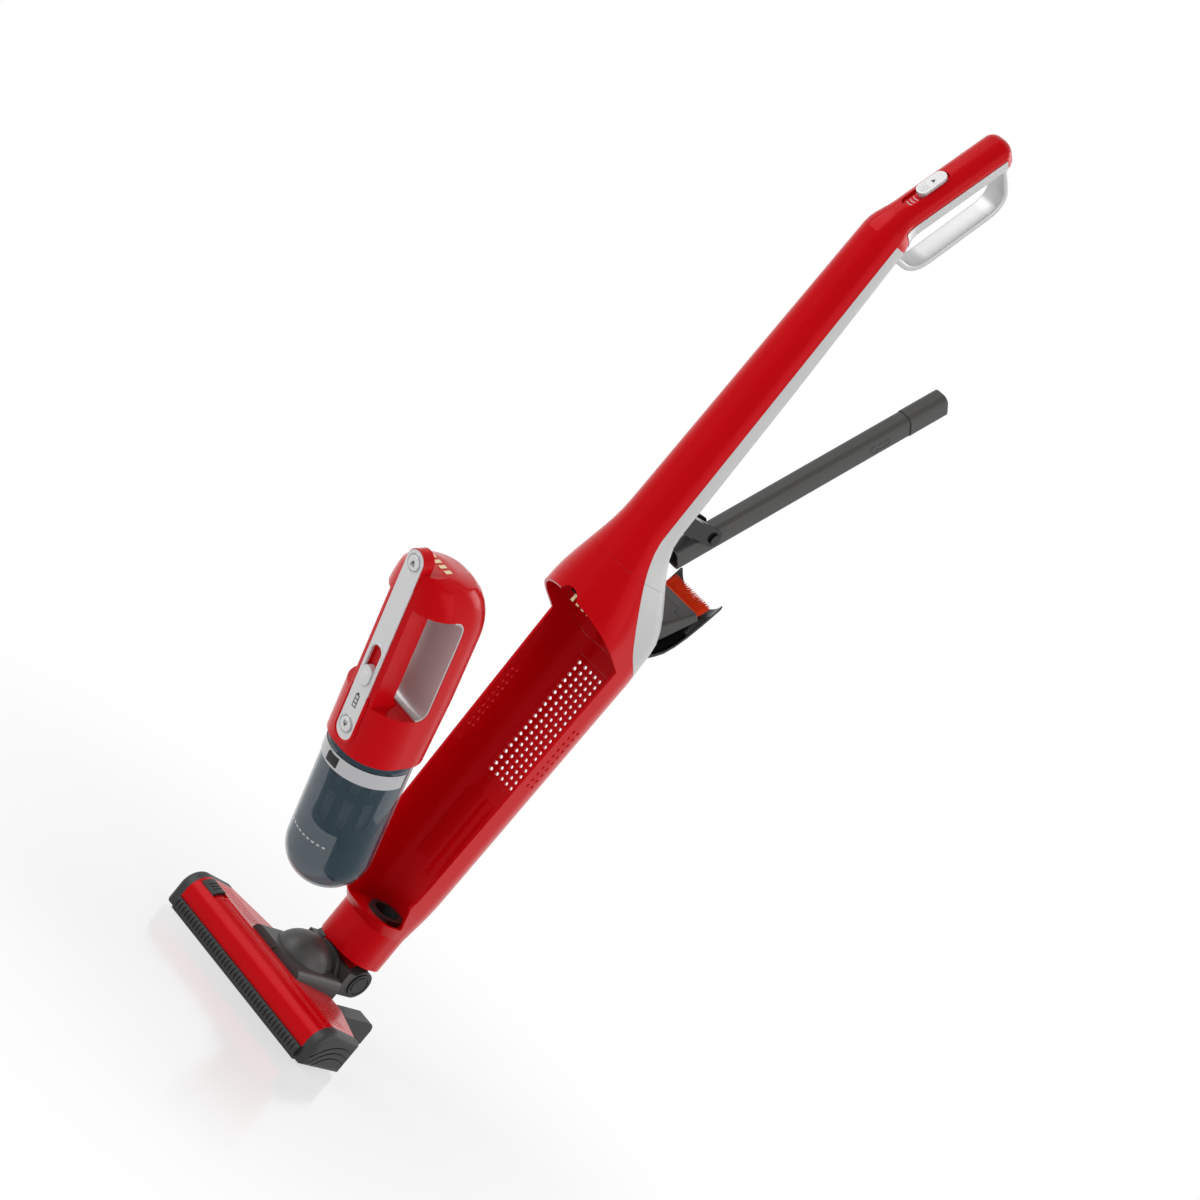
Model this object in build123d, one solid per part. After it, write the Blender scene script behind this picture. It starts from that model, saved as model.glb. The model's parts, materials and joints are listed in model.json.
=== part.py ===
from build123d import *
import os
from math import cos, radians, sin

# Cordless stick vacuum, shown as its parts are opened out: the handheld cleaner tipped out of the
# stick's cradle, the crevice tool swung off the tube's back and the storage flap open with its brush.
# Frame: millimetres, +Z up, front towards -Y, origin on the floor under the nozzle's sole.

# Fits
WALL = 3.0
RUN_FIT = 0.06
SLIDE_FIT = 0.3
SEAT = 0.2

# Floor nozzle
NOZZLE_WIDTH = 263.0
CAP_THICK = 14.0
NOZZLE_FRONT = -57.0
NOZZLE_END_BACK = 8.0
NOZZLE_MID_BACK = 40.0
NOZZLE_MID_HALF = 64.0
BASE_TOP = 16.0
FRONT_EDGE_Z = 22.0
RIDGE_Y = -30.0
RIDGE_Z = 46.0
BACK_EDGE_Z = 37.0
SOLE_THICK = 3.0
BUMPER_DEPTH = 5.0
BUMPER_LOW = 4.0
BUMPER_RIBS = 40
SCREW_R = 2.5

# Brush roller and its drive
ROLLER_Y = -34.0
ROLLER_Z = 20.0
ROLLER_CORE_R = 12.0
ROLLER_FIN_R = 17.5
ROLLER_HALF = 98.0
ROLLER_SHAFT_R = 4.0
ROLLER_FINS = 4
FIN_TURN = 90.0
FIN_SLICES = 6
FIN_THICK = 3.0
BUSH_R = 7.0
BUSH_LENGTH = 6.0
WINDOW_MARGIN = 2.5
PULLEY_WIDTH = 6.0
ROLLER_PULLEY_R = 9.0
MOTOR_PULLEY_R = 5.0
BELT_THICK = 1.4
DRIVE_MOTOR_R = 12.0
DRIVE_MOTOR_LENGTH = 46.0
DRIVE_MOTOR_Y = 2.0
DRIVE_SHAFT_R = 2.0

# Rear wheels
WHEEL_R = 13.0
WHEEL_WIDTH = 12.0
WHEEL_X = 53.0
WHEEL_Y = 95.0
AXLE_R = 3.0
ARM_WIDTH = 21.0
ARM_HEIGHT = 30.0
ARM_ROUND = 10.0
ARM_FRONT = 18.0

# Roller release slider
RELEASE_LENGTH = 22.0
RELEASE_DEPTH = 16.0
RELEASE_TRAVEL = 8.0
RELEASE_PROUD = 1.5

# Neck
ROLL_Z = 45.0
DOME_R = 33.0
DOME_Y = 13.0
NECK_R = 24.0
TRUNNION_R = 6.0
TRUNNION_LENGTH = 8.0
COLLAR_LENGTH = 6.0
COLLAR_WALL = 5.0
SADDLE_HALF = 42.0
SADDLE_TOP = 54.0
PIVOT_Y = 76.0
PIVOT_Z = 56.0
PIVOT_PIN_R = 6.0
EAR_R = 17.0
EAR_THICK = 12.0
TONGUE_HALF = 25.5
CAP_R = 14.5
CAP_PROUD = 1.6

# Stick
SPOUT_LOW = 76.0
SPOUT_HALF = 37.0
SPOUT_FRONT = 42.0
STICK_BACK = 108.0
LIP_Z = 134.0
CRADLE_HALF = 57.0
CRADLE_LOW_HALF = 51.0
RIM_Y = 43.0
HOOD_FRONT = -31.0
HOOD_EDGE_FRONT_Z = 529.0
HOOD_EDGE_BACK_Z = 486.0
NOTCH_R = 15.0
NOTCH_Z = 522.0
SEAM_Z = 586.0
TUBE_LOW_Z = 642.0
TUBE_LOW_HALF = 30.0
TUBE_HALF = 27.0
TUBE_FRONT = -26.5
TUBE_BACK = 29.0
TUBE_TOP_Z = 1003.0
TUBE_TOP_HALF = 24.0
CORNER_SHARE = 0.86
SPINE_EDGE_Y = -8.0
SPINE_POINT_Z = 489.0
CHANNEL_HALF = 13.5
CHANNEL_FLOOR = 6.0
CHANNEL_TOP = 985.0
BULKHEAD_Y = 38.0
HOOD_STEPS = 9
BOWL_STEPS = 4

# Vents in the cradle
VENT_HALF = 30.0
VENT_LOW = 306.0
VENT_ROWS = 19
VENT_COLUMNS = 7
VENT_PITCH = 8.2
VENT_R = 2.1
SIDE_VENT_ROWS = 10
SIDE_VENT_COLUMNS = 2

# Dock
SOCKET_R = 20.0
SOCKET_BORE = 14.0
CONTACT_COUNT = 4
CONTACT_PITCH = 9.0
CONTACT_GAP = 0.8
CONTACT_REACH = 9.0
CONTACT_R = 2.4

# Handle
GRIP_LEAN = 26.0
GRIP_HALF = 18.0
GRIP_DEPTH = 39.0
GRIP_LENGTH = 132.0
GRIP_ROUND = 12.0
GRIP_START_Z = 1030.0
GRIP_STEPS = 5
LOOP_WIDTH = 26.0
LOOP_THICK = 7.0
LOOP_ROUND = 15.0
SLOT_LENGTH = 58.0
SLOT_WIDTH = 15.0
SLOT_DEPTH = 4.0
SLOT_ALONG = 30.0
SLIDER_LENGTH = 36.0
SLIDER_PROUD = 3.0
SLIDER_TRAVEL = 16.0

# Crevice tool on the tube's back
TOOL_HALF = 11.0
TOOL_DEPTH = 28.0
TOOL_LENGTH = 362.0
TOOL_LOW_Z = 619.0
TOOL_FRONT = 7.0
TOOL_WALL = 2.2
TOOL_COLLAR = 54.0
TOOL_SWING = 36.0
TOOL_POLE_Y = 40.0
TOOL_POLE_Z = 539.0
CLIP_LOW = 646.0
CLIP_HEIGHT = 20.0
CLIP_THICK = 3.4
CLIP_REACH = 99.0
CLIP_BOSS_R = 6.5
CLIP_BOSS_PROUD = 3.0

# Storage flap with the dusting brush
FLAP_LOW = 509.0
FLAP_TOP = 594.0
FLAP_HALF = 35.0
FLAP_OPEN = 66.0
FLAP_PIN_R = 2.5
FLAP_LEAN = 30.0
FLAP_LUG = 5.5
FLAP_KNUCKLE_R = 5.0
BRUSH_HALF = 33.0
BRUSH_LENGTH = 54.0
BRUSH_THICK = 24.0
BRUSH_TIP_THICK = 12.0
BRUSH_START = 16.0
BRUSH_OFF = 9.0
BRUSH_SEAT_HALF = 12.0
BRUSH_SEAT_LENGTH = 38.0
BRISTLE_LENGTH = 20.0
BRISTLE_SIZE = 0.7
BRISTLE_ROWS = 6
BRISTLE_COLUMNS = 56
BRISTLE_BACKING = 2.0

# Handheld cleaner, in its own upright frame with the nose at its origin
HAND_DOCK_LEAN = 5.5
HAND_SWING = 18.5
HAND_POLE_Y = -45.0
HAND_POLE_Z = -205.0
HAND_NOSE_Y = 53.0
HAND_NOSE_Z = 128.4
CUP_R = 46.0
CUP_TOP = 178.0
CUP_WALL = 2.2
HOUSING_HALF = 47.0
HOUSING_FRONT = -47.5
HOUSING_BACK = 53.0
HOUSING_SHOULDER_Z = 330.0
HOUSING_TOP = 394.0
HOUSING_TOP_HALF = 22.0
HOUSING_TOP_BACK = -4.0
HOUSING_STEPS = 7
OPENING_LOW = 238.0
OPENING_TOP = 356.0
OPENING_FRONT = -20.0
OPENING_BACK = 4.0
OPENING_ROUND = 11.0
BAR_HALF = 19.0
LINING_WALL = 1.8
STRIP_HALF = 12.0
STRIP_LOW = 188.0
STRIP_TOP = 412.0
STRIP_THICK = 3.0
TONGUE_DEPTH = 13.0
BUTTON_R = 8.0
BUTTON_LENGTH = 7.0
BUTTON_PROUD = 1.5
RELEASE_BUTTON_Z = 399.0
CUP_BUTTON_Z = 205.0
SPRING_R = 4.0
SPRING_WIRE = 0.9
SPRING_TURNS = 4
SPRING_LENGTH = 4.0
HAND_SLOT_LOW = 254.0
HAND_SLOT_TOP = 300.0
HAND_SLOT_HALF = 7.5
HAND_SWITCH_LENGTH = 22.0
HAND_SWITCH_PROUD = 2.2
INLET_R = 17.0
INLET_BORE = 14.0
INLET_Y = 32.0
INLET_LOW = -1.5
INLET_TOP = 66.0
CAGE_R = 30.0
CAGE_LOW = 74.0
CAGE_RIBS = 8
FILTER_R = 25.0
FILTER_PLEATS = 20
FILTER_PLEAT_DEPTH = 6.0
BAND_LOW = 152.0
BAND_HEIGHT = 17.0
BAND_THICK = 0.8
SEAL_HEIGHT = 2.0
FAN_R = 33.0
FAN_HUB_R = 8.0
FAN_ROOM_GAP = 4.5
FAN_HEIGHT = 10.0
FAN_BLADES = 9
FAN_Z = 188.0
VAC_MOTOR_R = 26.0
CELL_R = 9.1
CELL_LENGTH = 65.0
CELL_PITCH = 19.0
HOLDER_THICK = 6.0
HOLDER_LOW = 236.0
BOARD_THICK = 1.6
BOARD_HEIGHT = 26.0
PAD_Y = -14.0
PAD_THICK = 0.8

# Places that follow from the sizes above
CAP_IN = NOZZLE_WIDTH / 2 - CAP_THICK
RELEASE_BACK = RIDGE_Y - 4
MOTOR_Z = ROLLER_Z
BELT_MID = ROLLER_HALF + PULLEY_WIDTH / 2 + 2
DRIVE_MOTOR_X = ROLLER_HALF - 6
SCREW_PLACES = [(-CAP_IN + 6.5, 2), (CAP_IN - 6.5, 2), (-80, 21), (80, 21)]
ARM_IN = WHEEL_X - ARM_WIDTH / 2
ARM_OUT = WHEEL_X + ARM_WIDTH / 2
ARM_BACK = WHEEL_Y + WHEEL_R + 4
WHEEL_SLOT_TOP = 2 * WHEEL_R + 1
COLLAR_Y = NOZZLE_MID_BACK + 2
COLLAR_BACK = COLLAR_Y + COLLAR_LENGTH
SADDLE_FRONT = DOME_Y - DOME_R - TRUNNION_LENGTH
TRUNNION_FRONT = SADDLE_FRONT + 1
EAR_IN = TONGUE_HALF + SLIDE_FIT
EAR_OUT = EAR_IN + EAR_THICK
TUBE_MID_Z = (TUBE_LOW_Z + TUBE_TOP_Z) / 2
TUBE_TOP_BACK = TUBE_BACK - 7
GRIP_BEND_R = (GRIP_START_Z - TUBE_TOP_Z) / sin(radians(GRIP_LEAN))
GRIP_START_Y = (TUBE_FRONT + TUBE_TOP_BACK) / 2 + GRIP_BEND_R * (1 - cos(radians(GRIP_LEAN)))
BOWL_LOW_Z = LIP_Z - 16
BOWL_TOP_Z = LIP_Z + 60
HOOD_FULL_Z = HOOD_EDGE_FRONT_Z - 6
FLOOR_TOP = LIP_Z - 10
CRADLE_FOOT_TOP = LIP_Z + 33
CRADLE_HOOD_LOW = HOOD_EDGE_BACK_Z - 6
FLAP_HINGE_Y = STICK_BACK - 5.5
FLAP_KNUCKLE_HALF = FLAP_HALF - 10
FLAP_PIN_HALF = FLAP_KNUCKLE_HALF + SLIDE_FIT + FLAP_LUG
TOOL_MID_Y = TOOL_FRONT + TOOL_DEPTH / 2
TOOL_JOINT_Z = TOOL_LOW_Z + TOOL_LENGTH - TOOL_COLLAR
DOCK_SIN = sin(radians(HAND_DOCK_LEAN))
DOCK_COS = cos(radians(HAND_DOCK_LEAN))
SOCKET_Y = HAND_NOSE_Y + INLET_Y * DOCK_COS - INLET_LOW * DOCK_SIN
SOCKET_TOP = HAND_NOSE_Z + INLET_Y * DOCK_SIN + INLET_LOW * DOCK_COS - SLIDE_FIT
CONTACT_Y = HAND_NOSE_Y + PAD_Y * DOCK_COS - HOUSING_TOP * DOCK_SIN
PAD_TOP_Z = HAND_NOSE_Z + PAD_Y * DOCK_SIN + (HOUSING_TOP + PAD_THICK) * DOCK_COS
CONTACT_Z = PAD_TOP_Z + CONTACT_GAP + CONTACT_REACH
HOUSING_LOW = CUP_TOP + SEAT
STRIP_FACE = HOUSING_FRONT - 1.0
STRIP_BACK = STRIP_FACE + STRIP_THICK
STRIP_END_Z = STRIP_TOP - STRIP_HALF
BUTTON_BACK = STRIP_FACE - BUTTON_PROUD + BUTTON_LENGTH
POCKET_BACK = BUTTON_BACK + SPRING_LENGTH
BUTTON_PLACES = (CUP_BUTTON_Z, RELEASE_BUTTON_Z)
FAN_ROOM_R = FAN_R + FAN_ROOM_GAP
MOTOR_LOW = FAN_Z + FAN_HEIGHT + 1.0
MOTOR_TOP = OPENING_LOW - 8
CELL_LOW = HOLDER_LOW + HOLDER_THICK / 2
CELL_BACK_Y = HOUSING_BACK - WALL - 14.4
CELL_FRONT_Y = CELL_BACK_Y - CELL_PITCH
CELL_PLACES = [(x * CELL_PITCH, CELL_BACK_Y) for x in (-1, 0, 1)]
CELL_PLACES += [(x * CELL_PITCH, CELL_FRONT_Y) for x in (-1.5, -0.5, 0.5, 1.5)]


def box(x0, x1, y0, y1, z0, z1):
    return Pos((x0 + x1) / 2, (y0 + y1) / 2, (z0 + z1) / 2) * Box(x1 - x0, y1 - y0, z1 - z0)


def rod_x(radius, x0, x1, y, z):
    return Pos((x0 + x1) / 2, y, z) * Rot(0, 90, 0) * Cylinder(radius, x1 - x0)


def rod_y(radius, y0, y1, x, z):
    return Pos(x, (y0 + y1) / 2, z) * Rot(90, 0, 0) * Cylinder(radius, y1 - y0)


def rod_z(radius, z0, z1, x, y):
    return Pos(x, y, (z0 + z1) / 2) * Cylinder(radius, z1 - z0)


def side_prism(face, half):
    """A side outline, drawn as (y, z), carried half to each side along X."""
    return extrude(Plane.YZ * face, amount=half, both=True)


def polygon(*points):
    return make_face(Polyline(*points, close=True))


def both_sides(piece):
    return piece + mirror(piece, about=Plane.YZ)


# Floor nozzle

def nozzle_profile(inset, low, back):
    front = NOZZLE_FRONT + inset
    ridge = RIDGE_Z - inset
    slope = (RIDGE_Z - BACK_EDGE_Z) / (NOZZLE_MID_BACK - RIDGE_Y)
    back_z = ridge - slope * (back - inset - RIDGE_Y)
    nose = ((front + RIDGE_Y) / 2 - 8, (FRONT_EDGE_Z + ridge) / 2 + 5)
    edges = [
        Line((front, low), (front, FRONT_EDGE_Z)),
        ThreePointArc((front, FRONT_EDGE_Z), nose, (RIDGE_Y, ridge)),
        Line((RIDGE_Y, ridge), (back - inset, back_z)),
        Line((back - inset, back_z), (back - inset, low)),
        Line((back - inset, low), (front, low)),
    ]
    return make_face(edges)


def nozzle_plan(inset, low, high):
    end = CAP_IN - inset
    middle = NOZZLE_MID_HALF - inset / 2
    corners = [
        (-end, NOZZLE_FRONT + inset), (end, NOZZLE_FRONT + inset), (end, NOZZLE_END_BACK - inset),
        (middle, NOZZLE_MID_BACK - inset), (-middle, NOZZLE_MID_BACK - inset),
        (-end, NOZZLE_END_BACK - inset),
    ]
    return extrude(Pos(0, 0, low) * polygon(*corners), amount=high - low)


def nozzle_hull(inset, low):
    body = side_prism(nozzle_profile(inset, low, NOZZLE_MID_BACK), NOZZLE_WIDTH)
    return body & nozzle_plan(inset, low, RIDGE_Z + 10)


def wheel_arm_block(grow):
    arm = box(ARM_IN - grow, ARM_OUT + grow, ARM_FRONT - grow, ARM_BACK, SOLE_THICK, ARM_HEIGHT + grow)
    return both_sides(arm)


def neck_room(grow):
    room = Pos(0, DOME_Y, ROLL_Z) * Sphere(DOME_R + grow)
    return room + rod_y(NECK_R + grow, DOME_Y, NOZZLE_MID_BACK + 60, 0, ROLL_Z)


def saddle_block(grow):
    half = SADDLE_HALF + grow
    return box(-half, half, SADDLE_FRONT - grow, COLLAR_BACK, BASE_TOP, SADDLE_TOP + 40 * grow)


def roller_boss_room():
    return rod_x(BUSH_R + 2.5 + SEAT, -CAP_IN - 1, CAP_IN + 1, ROLLER_Y, ROLLER_Z)


def make_nozzle_base():
    base = nozzle_plan(0, 0, BASE_TOP) - nozzle_plan(WALL, SOLE_THICK, BASE_TOP + 1)
    base += box(-SADDLE_HALF, SADDLE_HALF, NOZZLE_MID_BACK - WALL, COLLAR_BACK, SOLE_THICK, BASE_TOP)
    window = ROLLER_FIN_R + WINDOW_MARGIN
    base -= box(-ROLLER_HALF - 9, ROLLER_HALF + 9, ROLLER_Y - window, ROLLER_Y + window, -1, SOLE_THICK + 1)
    arms = wheel_arm_block(0)
    arms = fillet(arms.edges().filter_by(Axis.X).group_by(Axis.Y)[-1].group_by(Axis.Z)[-1], ARM_ROUND)
    arms -= both_sides(
        box(
            WHEEL_X - WHEEL_WIDTH / 2 - 1, WHEEL_X + WHEEL_WIDTH / 2 + 1,
            WHEEL_Y - WHEEL_R - 2, ARM_BACK + 1, 0, WHEEL_SLOT_TOP,
        )
    )
    base += arms
    base -= both_sides(rod_x(AXLE_R + SEAT / 2, ARM_IN + 2, ARM_OUT - 2, WHEEL_Y, WHEEL_R))
    base += box(
        DRIVE_MOTOR_X - DRIVE_MOTOR_LENGTH, DRIVE_MOTOR_X,
        DRIVE_MOTOR_Y - 6, DRIVE_MOTOR_Y + 6, SOLE_THICK, MOTOR_Z,
    ) - rod_x(DRIVE_MOTOR_R, DRIVE_MOTOR_X - 60, DRIVE_MOTOR_X + 10, DRIVE_MOTOR_Y, MOTOR_Z)
    base -= neck_room(1.5)
    base -= roller_boss_room()
    for x, y in SCREW_PLACES:
        base -= rod_z(SCREW_R + SEAT / 2, -1, BASE_TOP, x, y)
    return base


def make_nozzle_screws():
    screws = []
    for x, y in SCREW_PLACES:
        screws.append(rod_z(SCREW_R, 0.6, BASE_TOP - 2, x, y))
    return Compound(children=screws)


def release_room(length, grow):
    start = -CAP_IN + 4
    front = RELEASE_BACK - RELEASE_DEPTH
    return box(
        start - grow, start + length + grow, front - grow, RELEASE_BACK + grow, FRONT_EDGE_Z + 14, RIDGE_Z + 8
    )


def make_nozzle_cover():
    cover = nozzle_hull(0, BASE_TOP) - nozzle_hull(WALL, BASE_TOP - 1)
    run = RELEASE_LENGTH + RELEASE_TRAVEL + SLIDE_FIT
    floor = release_room(run, WALL) & nozzle_hull(WALL, BASE_TOP)
    floor -= nozzle_hull(2 * WALL, BASE_TOP)
    cover -= release_room(run, 0)
    cover += floor
    cover -= saddle_block(SEAT)
    cover -= wheel_arm_block(SEAT)
    cover -= neck_room(1.5)
    return cover - roller_boss_room()


def make_release_slider():
    start = -CAP_IN + 4 + SLIDE_FIT
    room = box(
        start, start + RELEASE_LENGTH, RELEASE_BACK - RELEASE_DEPTH + SLIDE_FIT, RELEASE_BACK - SLIDE_FIT,
        FRONT_EDGE_Z + 10, RIDGE_Z + 8,
    )
    slider = (nozzle_hull(-RELEASE_PROUD, BASE_TOP) - nozzle_hull(WALL - SEAT, BASE_TOP - 1)) & room
    for step in range(3):
        mark = start + RELEASE_LENGTH * (0.3 + 0.2 * step)
        slider -= box(mark, mark + 1.2, NOZZLE_FRONT, RIDGE_Y, RIDGE_Z - 2, RIDGE_Z + 8)
    return slider


def make_front_bumper():
    front = NOZZLE_FRONT - BUMPER_DEPTH
    middle = (BUMPER_LOW + BASE_TOP) / 2
    edges = [
        Line((NOZZLE_FRONT, BUMPER_LOW), (front + 2, BUMPER_LOW)),
        ThreePointArc((front + 2, BUMPER_LOW), (front, middle), (front + 2, BASE_TOP)),
        Line((front + 2, BASE_TOP), (NOZZLE_FRONT, BASE_TOP)),
        Line((NOZZLE_FRONT, BASE_TOP), (NOZZLE_FRONT, BUMPER_LOW)),
    ]
    bumper = side_prism(make_face(edges), CAP_IN)
    pitch = 2 * (CAP_IN - 6) / (BUMPER_RIBS - 1)
    grooves = []
    for rib in range(BUMPER_RIBS):
        x = -CAP_IN + 6 + rib * pitch
        grooves.append(box(x - 0.7, x + 0.7, front - 1, front + 1.6, BUMPER_LOW - 1, BASE_TOP + 1))
    return bumper - grooves


def make_end_cap(side):
    outer = NOZZLE_WIDTH / 2
    profile = nozzle_profile(0, BUMPER_LOW - 2, NOZZLE_END_BACK)
    cap = extrude(Plane.YZ.offset(CAP_IN) * profile, amount=CAP_THICK)
    rim = cap.faces().sort_by(Axis.X)[-1].edges()
    cap = fillet(rim, 7)
    boss_in = CAP_IN - BUSH_LENGTH - 1
    cap += rod_x(BUSH_R + 2.5, boss_in, CAP_IN + 1, ROLLER_Y, ROLLER_Z)
    cap -= rod_x(BUSH_R + SEAT / 4, boss_in - 1, CAP_IN, ROLLER_Y, ROLLER_Z)
    for radius in (34, 41, 48):
        groove = rod_x(radius, outer - 1.2, outer + 1, RIDGE_Y + 14, -14) - rod_x(
            radius - 1.6, outer - 2, outer + 2, RIDGE_Y + 14, -14
        )
        cap -= groove
    cap -= wheel_arm_block(SEAT)
    return cap if side > 0 else mirror(cap, about=Plane.YZ)


def make_neck_saddle():
    saddle = saddle_block(0)
    saddle = fillet(saddle.edges().filter_by(Axis.Y).group_by(Axis.Z)[-1], 9)
    collar = box(-SADDLE_HALF + 4, SADDLE_HALF - 4, COLLAR_Y, COLLAR_BACK, BASE_TOP, ROLL_Z)
    collar += rod_y(NECK_R + COLLAR_WALL, COLLAR_Y, COLLAR_BACK, 0, ROLL_Z)
    saddle += collar - z_slab(-100, BASE_TOP)
    saddle -= neck_room(SLIDE_FIT) & box(-90, 90, -90, COLLAR_Y, -90, 200)
    saddle -= rod_y(NECK_R + RUN_FIT, COLLAR_Y - 1, COLLAR_BACK + 1, 0, ROLL_Z)
    saddle -= rod_y(TRUNNION_R + RUN_FIT, SADDLE_FRONT - 1, DOME_Y, 0, ROLL_Z)
    saddle -= rod_x(ROLLER_FIN_R + 1.5, -NOZZLE_WIDTH, NOZZLE_WIDTH, ROLLER_Y, ROLLER_Z)
    return saddle - wheel_arm_block(SEAT)


def make_roller_core():
    reach = CAP_IN - SEAT
    core = rod_x(ROLLER_CORE_R, -ROLLER_HALF, ROLLER_HALF, ROLLER_Y, ROLLER_Z)
    core += rod_x(ROLLER_SHAFT_R, -reach, reach, ROLLER_Y, ROLLER_Z)
    low = BELT_MID - PULLEY_WIDTH / 2
    core += rod_x(ROLLER_PULLEY_R, low, low + PULLEY_WIDTH, ROLLER_Y, ROLLER_Z)
    return core


def make_roller_fins():
    middle = (ROLLER_CORE_R + ROLLER_FIN_R) / 2
    core = rod_x(ROLLER_CORE_R, -ROLLER_HALF, ROLLER_HALF, ROLLER_Y, ROLLER_Z)
    fins = []
    for fin in range(ROLLER_FINS):
        steps = []
        for step in range(FIN_SLICES + 1):
            share = step / FIN_SLICES
            angle = radians(360.0 * fin / ROLLER_FINS + FIN_TURN * share)
            x = (ROLLER_HALF - 3) * (2 * share - 1)
            plane = Plane(origin=(x, ROLLER_Y, ROLLER_Z), x_dir=(0, cos(angle), sin(angle)), z_dir=(1, 0, 0))
            steps.append(plane * Pos(middle, 0) * Rectangle(ROLLER_FIN_R - ROLLER_CORE_R + 1, FIN_THICK))
        fins.append(loft(steps) - core)
    return Compound(children=fins)


def make_roller_bushes():
    bush = rod_x(BUSH_R, CAP_IN - BUSH_LENGTH, CAP_IN, ROLLER_Y, ROLLER_Z)
    bush -= rod_x(ROLLER_SHAFT_R + RUN_FIT, 0, NOZZLE_WIDTH, ROLLER_Y, ROLLER_Z)
    return Compound(children=[bush, mirror(bush, about=Plane.YZ)])


def make_roller_motor():
    start = DRIVE_MOTOR_X - DRIVE_MOTOR_LENGTH
    motor = rod_x(DRIVE_MOTOR_R - SEAT / 2, start, DRIVE_MOTOR_X, DRIVE_MOTOR_Y, MOTOR_Z)
    bore = rod_x(DRIVE_SHAFT_R + RUN_FIT, DRIVE_MOTOR_X - 12, DRIVE_MOTOR_X + 1, DRIVE_MOTOR_Y, MOTOR_Z)
    return motor - bore


def make_motor_pulley():
    low = BELT_MID - PULLEY_WIDTH / 2
    pulley = rod_x(MOTOR_PULLEY_R, low, low + PULLEY_WIDTH, DRIVE_MOTOR_Y, MOTOR_Z)
    return pulley + rod_x(DRIVE_SHAFT_R, DRIVE_MOTOR_X - 11, low + 1, DRIVE_MOTOR_Y, MOTOR_Z)


def belt_outline(grow):
    circles = [
        Pos(ROLLER_Y, ROLLER_Z) * Circle(ROLLER_PULLEY_R + grow),
        Pos(DRIVE_MOTOR_Y, MOTOR_Z) * Circle(MOTOR_PULLEY_R + grow),
    ]
    return make_hull([edge for circle in circles for edge in circle.edges()])


def make_drive_belt():
    low = BELT_MID - PULLEY_WIDTH / 2 + 0.5
    outer = extrude(Plane.YZ.offset(low) * belt_outline(RUN_FIT + BELT_THICK), amount=PULLEY_WIDTH - 1)
    inner = extrude(Plane.YZ.offset(low - 1) * belt_outline(RUN_FIT), amount=PULLEY_WIDTH + 1)
    return outer - inner


def make_wheel(side):
    wheel = rod_x(WHEEL_R, WHEEL_X - WHEEL_WIDTH / 2, WHEEL_X + WHEEL_WIDTH / 2, WHEEL_Y, WHEEL_R)
    wheel = fillet(wheel.edges().filter_by(GeomType.CIRCLE), 1.5)
    wheel -= rod_x(AXLE_R + RUN_FIT, 0, NOZZLE_WIDTH, WHEEL_Y, WHEEL_R)
    return wheel if side > 0 else mirror(wheel, about=Plane.YZ)


def make_wheel_axles():
    axle = rod_x(AXLE_R, ARM_IN + 2.2, ARM_OUT - 2.2, WHEEL_Y, WHEEL_R)
    return Compound(children=[axle, mirror(axle, about=Plane.YZ)])


# Neck

def make_neck_body():
    dome = Pos(0, DOME_Y, ROLL_Z) * Sphere(DOME_R)
    dome -= box(-DOME_R, DOME_R, COLLAR_Y - 4, DOME_Y + DOME_R + 1, ROLL_Z - DOME_R, ROLL_Z + DOME_R)
    back = COLLAR_BACK + 4
    neck = dome + rod_y(NECK_R, DOME_Y, back, 0, ROLL_Z)
    neck += rod_y(TRUNNION_R, TRUNNION_FRONT, DOME_Y, 0, ROLL_Z)
    ears = rod_x(EAR_R, -EAR_OUT, EAR_OUT, PIVOT_Y, PIVOT_Z)
    low = PIVOT_Z - EAR_R
    ears += box(-EAR_OUT, EAR_OUT, back - 3, PIVOT_Y, low, PIVOT_Z + EAR_R * 0.6)
    room = rod_x(EAR_R + 1, -EAR_IN, EAR_IN, PIVOT_Y, PIVOT_Z)
    room += box(-EAR_IN, EAR_IN, PIVOT_Y, PIVOT_Y + EAR_R + 9, low - 9, PIVOT_Z + EAR_R + 9)
    ears -= room
    neck += ears
    neck -= rod_x(PIVOT_PIN_R, -EAR_OUT - 1, EAR_OUT + 1, PIVOT_Y, PIVOT_Z)
    return neck


def make_pivot_pin():
    return rod_x(PIVOT_PIN_R, -EAR_OUT, EAR_OUT, PIVOT_Y, PIVOT_Z)


def make_pivot_caps():
    cap = rod_x(CAP_R, EAR_OUT, EAR_OUT + CAP_PROUD, PIVOT_Y, PIVOT_Z)
    ring = rod_x(CAP_R - 3, EAR_OUT + CAP_PROUD / 2, EAR_OUT + 9, PIVOT_Y, PIVOT_Z)
    ring -= rod_x(CAP_R - 4.5, EAR_OUT, EAR_OUT + 10, PIVOT_Y, PIVOT_Z)
    cap -= ring
    return Compound(children=[cap, mirror(cap, about=Plane.YZ)])


# Stick

def blend(start, end, share):
    """A smooth S-curve from start to end."""
    return start + (end - start) * share * share * (3 - 2 * share)


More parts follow.
